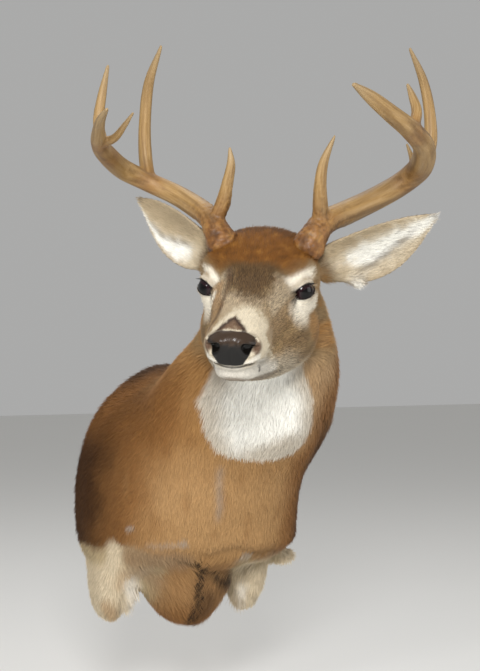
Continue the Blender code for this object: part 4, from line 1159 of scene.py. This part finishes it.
def buildAntler(side):
    antler = antlers[side]
    lofts, samples, headings, along = [], [], [], []
    for index, rows in enumerate([antler["beam"], *antler["tines"]]):
        line = curve(rows, antlerForm["steps"])
        placed = np.column_stack([inHead(line[:, :3]), line[:, 3] - antlerForm["inset"]])
        run = np.concatenate([[0], np.cumsum(np.linalg.norm(np.diff(placed[:, :3], axis=0), axis=1))])
        lofts.append(loft(tubeRings(placed, antlerForm["sides"])))
        samples.append(placed)
        headings.append(lineDirections(placed[:, :3]))
        along.append(np.column_stack([run + antlerForm["tineStart"] * (index > 0), run / run[-1],
                                      np.full(len(run), index)]))
    thing = joined("antler_" + side, lofts)
    weld(thing, antlerForm["voxel"])
    thing = settled(thing)
    mesh = thing.data
    points = positions(mesh)
    points = relax(points, edgesOf(mesh), np.ones(len(points)), antlerForm["rounding"])
    setPositions(mesh, points)

    # the nearest place on the beam, or on a tine outside it
    beam = samples[0]
    samples, along = np.vstack(samples), np.vstack(along)
    tree = KDTree(len(samples))
    for index, sample in enumerate(samples):
        inside = farFrom(beam[:, :3], sample[:3]) < beam[:, 3] * 1.05
        if along[index, 2] == 0 or not inside.any():
            tree.insert(sample[:3], index)
    tree.balance()
    near = np.array([tree.find(point)[1] for point in points])
    run, share, number = along[near].T
    heading = np.vstack(headings)[near]
    offset = points - samples[near, :3]
    offset = unit(offset - (offset * heading).sum(1, keepdims=True) * heading)

    # pearls and burr at the base, long grooves that run with the bone
    fromBase = farFrom(points, inHead(antler["beam"][0][:3]))
    rough = smoothStep(antlerForm["roughReach"], 2.5, fromBase)
    pearls = np.maximum(ripple(points, antlerForm["pearlSize"], 31), -0.3) + 0.5 * ripple(points, 0.2, 34)
    turned = offset * 1.1 + (run * 0.07)[:, None] * heading + 3 * number[:, None]
    grooves = ripple(turned, 0.5, 33)
    burr = hill(fromBase - antlerForm["burrHeight"], antlerForm["burrReach"])
    lift = (antlerForm["pearls"] * rough * pearls
            + antlerForm["grooves"] * grooves * smoothStep(1.0, 0.5, share)
            + burr * (antlerForm["burrOut"] + antlerForm["burrKnobs"] * ripple(points, 0.5, 32)))
    normals = vertexNormals(mesh)
    store(mesh, "hollow", "FLOAT", np.clip(0.5 - 0.6 * grooves - 0.7 * rough * pearls, 0, 1))
    setPositions(mesh, points + lift[:, None] * normals)
    store(mesh, "growth", "FLOAT_VECTOR", turned)
    # rubbed pale at the polished tips, dark at the base and in the forks
    store(mesh, "tipTone", "FLOAT", 0.8 * faded((1.0, 0.35, samples[near, 3]), (0.45, 1.0, share)))
    forks = np.max([smoothStep(3.2, 1.0, farFrom(points, inHead(rows[0][:3])))
                    for rows in antler["tines"]], 0)
    store(mesh, "baseTone", "FLOAT", np.maximum(smoothStep(9, 2, fromBase), 0.55 * forks))
    mesh.shade_smooth()
    say(f"antler {side}, {len(points)} points")
    return thing


def blankFinish(name):
    finish = bpy.data.materials.new(name)
    finish.use_nodes = True
    return finish, finish.node_tree


def surface(finish, inputs):
    wireUp(finish.node_tree, finish.node_tree.nodes["Principled BSDF"], inputs)
    return finish


def attribute(tree, name, output="Fac"):
    return addNode(tree, "ShaderNodeAttribute", {"attribute_name": name}).outputs[output]


def objectPlace(tree):
    return addNode(tree, "ShaderNodeTexCoord").outputs["Object"]


def noiseOn(tree, vector, scale, detail, roughness):
    return addNode(tree, "ShaderNodeTexNoise", inputs={
        "Vector": vector, "Scale": scale, "Detail": detail, "Roughness": roughness}).outputs["Fac"]


def maths(tree, operation, *values):
    return addNode(tree, "ShaderNodeMath", {"operation": operation}, dict(enumerate(values))).outputs[0]


def scaled(tree, vector, factor):
    return addNode(tree, "ShaderNodeVectorMath", {"operation": "SCALE"}, {
        0: vector, "Scale": factor}).outputs[0]


def mapped(tree, value, fromRange, toRange):
    return addNode(tree, "ShaderNodeMapRange", inputs={
        "Value": value, "From Min": fromRange[0], "From Max": fromRange[1],
        "To Min": toRange[0], "To Max": toRange[1]}).outputs["Result"]


def mixedFloat(tree, share, one, other):
    return addNode(tree, "ShaderNodeMix", {"data_type": "FLOAT"}, {0: share, 2: one, 3: other}).outputs[0]


def mixedColour(tree, share, one, other):
    return addNode(tree, "ShaderNodeMix", {"data_type": "RGBA"}, {0: share, 6: one, 7: other}).outputs[2]


def bumpFrom(tree, height, strength, distance):
    return addNode(tree, "ShaderNodeBump", inputs={
        "Height": height, "Strength": strength, "Distance": distance}).outputs["Normal"]


def ramp(tree, factor, stops):
    node = addNode(tree, "ShaderNodeValToRGB", inputs={"Fac": factor})
    band = node.color_ramp
    while len(band.elements) < len(stops):
        band.elements.new(0.5)
    for element, (place, colour) in zip(band.elements, stops):
        element.position = place
        element.color = opaque(colour)
    return node.outputs["Color"]


def deerHair():
    # keratin hair: each tuft its own shade, dark at the root and bleached at the point
    finish, tree = blankFinish("deer hair")
    wide = mapped(tree, attribute(tree, "speckle"), (0.0, 1.0), (0.26, 1.2))
    swing = maths(tree, "MULTIPLY_ADD", attribute(tree, "tuftShade"), 1.0, -0.5)
    rise = mapped(tree, attribute(tree, "alongHair"), (0.0, 1.0), (0.82, 1.12))
    factor = maths(tree, "MULTIPLY", maths(tree, "MULTIPLY_ADD", swing, wide, 1.0), rise)
    return surface(finish, {
        "Base Color": scaled(tree, attribute(tree, "hairColour", "Color"), factor), "Roughness": 0.62,
        "IOR": 1.55, "Specular IOR Level": 0.16, "Sheen Weight": 0.04, "Sheen Roughness": 0.45})


def hairedHide():
    # tanned hide with its under-hair: mottled in the coat's colours, wet black leather on the nose pad
    finish, tree = blankFinish("haired hide and nose leather")
    place = objectPlace(tree)
    wet = attribute(tree, "wetness")
    strands = noiseOn(tree, place, scale=900.0, detail=3.0, roughness=0.6)         # about 1 mm locks
    tone = mixedFloat(tree, wet, mapped(tree, strands, (0.3, 0.7), (0.78, 1.06)), 1.0)
    pebbles = addNode(tree, "ShaderNodeTexVoronoi", {"feature": "SMOOTH_F1"}, {
        "Vector": place, "Scale": 620.0}).outputs["Distance"]                      # nose grain 1.6 mm
    return surface(finish, {
        "Base Color": scaled(tree, attribute(tree, "hairColour", "Color"), tone),
        "Normal": bumpFrom(tree, mixedFloat(tree, wet, strands, pebbles), strength=0.5, distance=0.0003),
        "Roughness": mapped(tree, wet, (0.0, 1.0), (0.8, 0.26)), "Specular IOR Level": 0.32})


def antlerBone():
    # bare antler, stained by bark: streaked brown, dark in the burr, rubbed pale at the points
    finish, tree = blankFinish("antler bone")
    growth = attribute(tree, "growth", "Vector")
    streaks = noiseOn(tree, growth, scale=3.0, detail=5.0, roughness=0.65)
    honey = ramp(tree, streaks, antlerColours["streaks"])
    blotches = noiseOn(tree, objectPlace(tree), scale=60.0, detail=4.0, roughness=0.6)
    stain = ramp(tree, blotches, antlerColours["stains"])
    dark = mixedColour(tree, attribute(tree, "baseTone"), honey, stain)
    pale = mixedColour(tree, attribute(tree, "tipTone"), dark, opaque(antlerColours["tip"]))
    pits = mapped(tree, attribute(tree, "hollow"), (0.4, 1.0), (0.0, 0.6))
    return surface(finish, {
        "Base Color": mixedColour(tree, pits, pale, opaque(antlerColours["pit"])),
        "Normal": bumpFrom(tree, noiseOn(tree, growth, scale=9.0, detail=4.0, roughness=0.7),
                           strength=0.45, distance=0.0008),
        "Roughness": 0.46, "IOR": 1.55, "Specular IOR Level": 0.35})


def glassEye():
    # painted glass: near-black brown iris with a long level pupil under clear polished glass
    finish, tree = blankFinish("painted glass eye")
    return surface(finish, {"Base Color": ramp(tree, attribute(tree, "iris"), eyes["irisColours"]),
                            "Roughness": 0.04, "IOR": 1.52, "Specular IOR Level": 0.27})


def lashHair():
    # stiff black hairs
    return surface(blankFinish("black lash hair")[0], {
        "Base Color": opaque(lashes["colour"]), "Roughness": 0.45})


def plywood():
    # plain sanded plywood, its face grain running up
    finish, tree = blankFinish("sanded plywood")
    drawn = addNode(tree, "ShaderNodeMapping", inputs={
        "Vector": objectPlace(tree), "Scale": (60.0, 420.0, 5.0)}).outputs["Vector"]
    grain = noiseOn(tree, drawn, scale=1.0, detail=6.0, roughness=0.62)
    wood = ramp(tree, grain, [(0.32, "#a67c4c"), (0.5, "#c79c66"), (0.68, "#dcb784")])
    return surface(finish, {
        "Base Color": wood, "Normal": bumpFrom(tree, grain, strength=0.25, distance=0.0004),
        "Roughness": 0.66})


def matteFloor():
    # matt seamless card
    return surface(blankFinish("matt pale card")[0], {
        "Base Color": opaque(stage["floorColour"]), "Roughness": 0.9})


def tuftObject():
    # one lock: a ridged blade that bends down to its point, 1 long, 1 wide, 1 high
    vertices = []
    for y, half, high in coatForm["blade"]:
        vertices += [(-half, y, high * 0.1), (0, y, high + 0.25), (half, y, high * 0.1)]
    vertices.append((0, 1.0, 0.18))
    mesh = bpy.data.meshes.new("tuft")
    mesh.from_pydata(vertices, [], [(0, 1, 4, 3), (1, 2, 5, 4), (3, 4, 6), (4, 5, 6)])
    layer = mesh.attributes.new("tuftPatch", "FLOAT2", "CORNER")
    corners = [vertices[loop.vertex_index] for loop in mesh.loops]
    layer.data.foreach_set("vector", np.array([(x + 0.5, y) for x, y, z in corners], np.float32).ravel())
    store(mesh, "alongHair", "FLOAT", [y for x, y, z in vertices])
    mesh.shade_smooth()
    return linked("tuft", mesh)


def coatTree(tuft):
    # scatters tufts over the skin, lays each along the hair's lie, and keeps its root's place on the unwrap
    tree = bpy.data.node_groups.new("coat of tufts", "GeometryNodeTree")
    kinds = {"Geometry": "Geometry", "Cover": "String", "Density": "Float", "Seed": "Int", "Width": "Float",
             "Height": "Float", "Length": "Float", "Stand": "Float", "Patch": "Float", "Hair": "Material"}
    sockets = {name: tree.interface.new_socket(name, in_out="INPUT", socket_type="NodeSocket" + kind)
               for name, kind in kinds.items()}
    tree.interface.new_socket("Geometry", in_out="OUTPUT", socket_type="NodeSocketGeometry")
    given = addNode(tree, "NodeGroupInput").outputs

    def geometry(kind, inputs, settings=None, output="Geometry"):
        return addNode(tree, "GeometryNode" + kind, settings, inputs).outputs[output]

    def named(name, kind="FLOAT"):
        return geometry("InputNamedAttribute", {"Name": name}, {"data_type": kind}, "Attribute")

    def kept(last, name, value, kind="FLOAT", domain="POINT"):
        return geometry("StoreNamedAttribute", {"Geometry": last, "Name": name, "Value": value},
                        {"data_type": kind, "domain": domain})

    def total(one, other):
        return addNode(tree, "ShaderNodeVectorMath", {"operation": "ADD"}, {0: one, 1: other}).outputs[0]

    def product(*values):
        result = values[0]
        for value in values[1:]:
            result = maths(tree, "MULTIPLY", result, value)
        return result

    def chance(low, high, seed):
        return addNode(tree, "FunctionNodeRandomValue", {"data_type": "FLOAT"}, {
            2: low, 3: high, "Seed": maths(tree, "ADD", given["Seed"], float(seed))}).outputs[1]

    scatter = addNode(tree, "GeometryNodeDistributePointsOnFaces", {"distribute_method": "RANDOM"}, {
        "Mesh": given["Geometry"], "Density": product(named(given["Cover"]), given["Density"]),
        "Seed": given["Seed"]})
    normal = scatter.outputs["Normal"]
    roots = kept(scatter.outputs["Points"], "rootPatch", named("OFBake", "FLOAT_VECTOR"), "FLOAT_VECTOR")
    roots = kept(roots, "tuftShade", chance(0.0, 1.0, 1))
    jitter = addNode(tree, "FunctionNodeRandomValue", {"data_type": "FLOAT_VECTOR"}, {
        0: (-coatForm["jitter"],) * 3, 1: (coatForm["jitter"],) * 3}).outputs[0]
    lie = addNode(tree, "ShaderNodeVectorMath", {"operation": "NORMALIZE"}, {
        0: total(named("hairLie", "FLOAT_VECTOR"), jitter)}).outputs[0]
    raised = total(lie, scaled(tree, normal, product(given["Stand"], chance(0.5, 1.6, 2))))
    facing = addNode(tree, "FunctionNodeAxesToRotation", {"primary_axis": "Y", "secondary_axis": "Z"}, {
        "Primary Axis": raised, "Secondary Axis": normal}).outputs["Rotation"]
    long = product(named("hairLength"), given["Length"], chance(0.7, 1.25, 3))
    wide = product(given["Width"], chance(0.7, 1.3, 4))
    size = addNode(tree, "ShaderNodeCombineXYZ", inputs={
        "X": wide, "Y": long, "Z": given["Height"]}).outputs["Vector"]
    lock = geometry("ObjectInfo", {"Object": tuft})
    placed = geometry("InstanceOnPoints", {"Points": roots, "Instance": lock, "Rotation": facing,
                                           "Scale": size}, output="Instances")
    spot = total(named("rootPatch", "FLOAT_VECTOR"),
                 scaled(tree, named("tuftPatch", "FLOAT_VECTOR"), given["Patch"]))
    last = kept(geometry("RealizeInstances", {"Geometry": placed}), "OFBake", spot, "FLOAT2", "CORNER")
    spent = ["rootPatch", "tuftPatch", "hairLie", "hairLength", "wetness"]
    for name in spent + ["cover_" + region for region in coat]:
        last = geometry("RemoveAttribute", {"Geometry": last, "Name": name})
    painted = geometry("SetMaterial", {"Geometry": last, "Material": given["Hair"]})
    addNode(tree, "NodeGroupOutput", inputs={"Geometry": painted})
    return tree, sockets


def buildCoat(skin, hair):
    tuft = tuftObject()
    tree, sockets = coatTree(tuft)
    areas = readOut(skin.data.polygons, "area", kind=float)
    corners = [np.array(polygon.vertices) for polygon in skin.data.polygons]
    pieces = []
    for number, (region, look) in enumerate(coat.items()):
        cover = readOut(skin.data.attributes["cover_" + region].data, "value")
        covered = sum(area * cover[corner].mean() for area, corner in zip(areas, corners))
        for piece in range(look["pieces"]):
            name = "coat_" + region + ("" if look["pieces"] == 1 else "_" + "abc"[piece])
            thing = linked(name, skin.data.copy())
            step = addStep(thing, "NODES", node_group=tree)
            values = {"Cover": "cover_" + region, "Density": look["tufts"] / look["pieces"] / covered,
                      "Seed": 100 * number + piece + 1, "Width": look["width"] * mm,
                      "Height": look["height"] * mm, "Length": look["length"] * cm,
                      "Stand": math.tan(math.radians(look["stand"])), "Patch": coatForm["patch"],
                      "Hair": hair}
            for key, value in values.items():
                step[sockets[key].identifier] = value
            thing = settled(thing)
            pieces.append(thing)
            say(f"{name}, {len(thing.data.polygons)} faces")
    bpy.data.objects.remove(tuft)
    return pieces


def buildEye(side):
    middle, gaze, ahead, upright = eyeFrame(side)
    mesh = reworked(bpy.data.meshes.new("eye_glass_" + side), lambda form: bmesh.ops.create_uvsphere(
        form, u_segments=64, v_segments=40, radius=eyes["radius"]))
    mesh.shade_smooth()
    way = unit(positions(mesh))                # the ball's own pole becomes the gaze
    cornea = eyes["cornea"] * smoothStep(0.62, 0.95, way[:, 2])
    out = way @ np.array([ahead, upright, gaze]) * (eyes["radius"] + cornea - 0.01)[:, None]
    setPositions(mesh, inHead(middle + out))
    pupil = np.hypot(way[:, 0] / eyes["pupil"][0], way[:, 1] / eyes["pupil"][1])
    outer = np.arccos(np.clip(way[:, 2], -1, 1)) / eyes["irisReach"]
    iris = np.clip(np.maximum(smoothStep(0.8, 1.1, pupil) * 0.65, outer), 0, 1)
    store(mesh, "iris", "FLOAT", np.where(way[:, 2] > 0, iris, 1.0))
    return linked("eye_glass_" + side, reworked(mesh, turnOut))


def buildLashes(side):
    middle, gaze, ahead, upright = eyeFrame(side)
    lofts = []
    for index in range(lashes["count"]):
        share = index / (lashes["count"] - 1)
        x = (-0.82 + 1.35 * share) * eyes["halfLength"]
        y = eyes["upper"] * (1 - abs(x / eyes["halfLength"]) ** eyes["almond"]) + 0.05
        way = unit(x * ahead + y * upright + math.sqrt(max(0.05, 1 - x * x - y * y)) * gaze)
        start = middle + way * (eyes["radius"] + 0.10)
        out = unit(way + 0.5 * gaze - 0.35 * ahead * (0.3 + share))
        uneven = 0.85 + 0.3 * ((index * 7) % 5) / 5
        length = lashes["length"] * (0.7 + 0.5 * math.sin(math.pi * share)) * uneven
        line = [(*inHead(start + out * length * t - upright * lashes["droop"] * length * t * t),
                 lashes["radius"] * (1 - 0.85 * t)) for t in (0.0, 0.35, 0.7, 1.0)]
        lofts.append(loft(tubeRings(np.array(line), 5)))
    thing = joined("eyelashes_" + side, lofts)
    thing.data.shade_smooth()
    return thing


def buildStage():
    scene = bpy.context.scene
    scene.view_settings.view_transform = "Standard"
    bpy.ops.mesh.primitive_plane_add(size=stage["floorSize"], location=(0, 0, -stage["floorDrop"]))
    floor = bpy.context.object
    floor.name = "floor"
    floor.data.materials.append(matteFloor())
    world = bpy.data.worlds.new("studio air")
    scene.world = world
    world.use_nodes = True
    wireUp(world.node_tree, world.node_tree.nodes["Background"], {
        "Color": opaque(stage["airColour"]), "Strength": stage["air"]})
    for name in ("key", "fill", "top", "catch"):
        look = stage[name]
        lamp = bpy.data.lights.new(name, "AREA")
        lamp.energy = look["power"]
        lamp.size = look["size"]
        thing = linked(name, lamp)
        thing.location = look["place"]
        aim = Vector(stage["aim"]) - Vector(look["place"])
        thing.rotation_euler = aim.to_track_quat("-Z", "Y").to_euler()
    camera = bpy.data.cameras.new("camera")
    camera.lens = stage["lens"]
    thing = linked("camera", camera)
    thing.location = stage["camera"]
    thing.rotation_euler = (math.pi / 2, 0, math.radians(stage["azimuth"]))
    scene.camera = thing


skin = buildSkin()
dress(skin)
unwrapSkin(skin)
skin.data.materials.append(hairedHide())
coatPieces = buildCoat(skin, deerHair())
fleshNodes = ["trunk", "neck", "head", "foreleg_left", "foreleg_right", "ear_left", "ear_right"]
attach(skin, "root")
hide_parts(*fleshNodes)
for thing in coatPieces:
    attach(thing, "root")

bone = antlerBone()
glass = glassEye()
lash = lashHair()
for side in sideSigns:
    antler = buildAntler(side)
    antler.data.materials.append(bone)
    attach(antler, "root")
    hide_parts(*(name for name in frame["nodes"] if name.startswith("antler_" + side)))
    eye = buildEye(side)
    eye.data.materials.append(glass)
    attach(eye, "root")
    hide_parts("eye_" + side)
    row = buildLashes(side)
    row.data.materials.append(lash)
    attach(row, "root")

board = frame["nodes"]["back_board"]
board.data.materials.clear()
board.data.materials.append(plywood())
buildStage()
say("stage set")
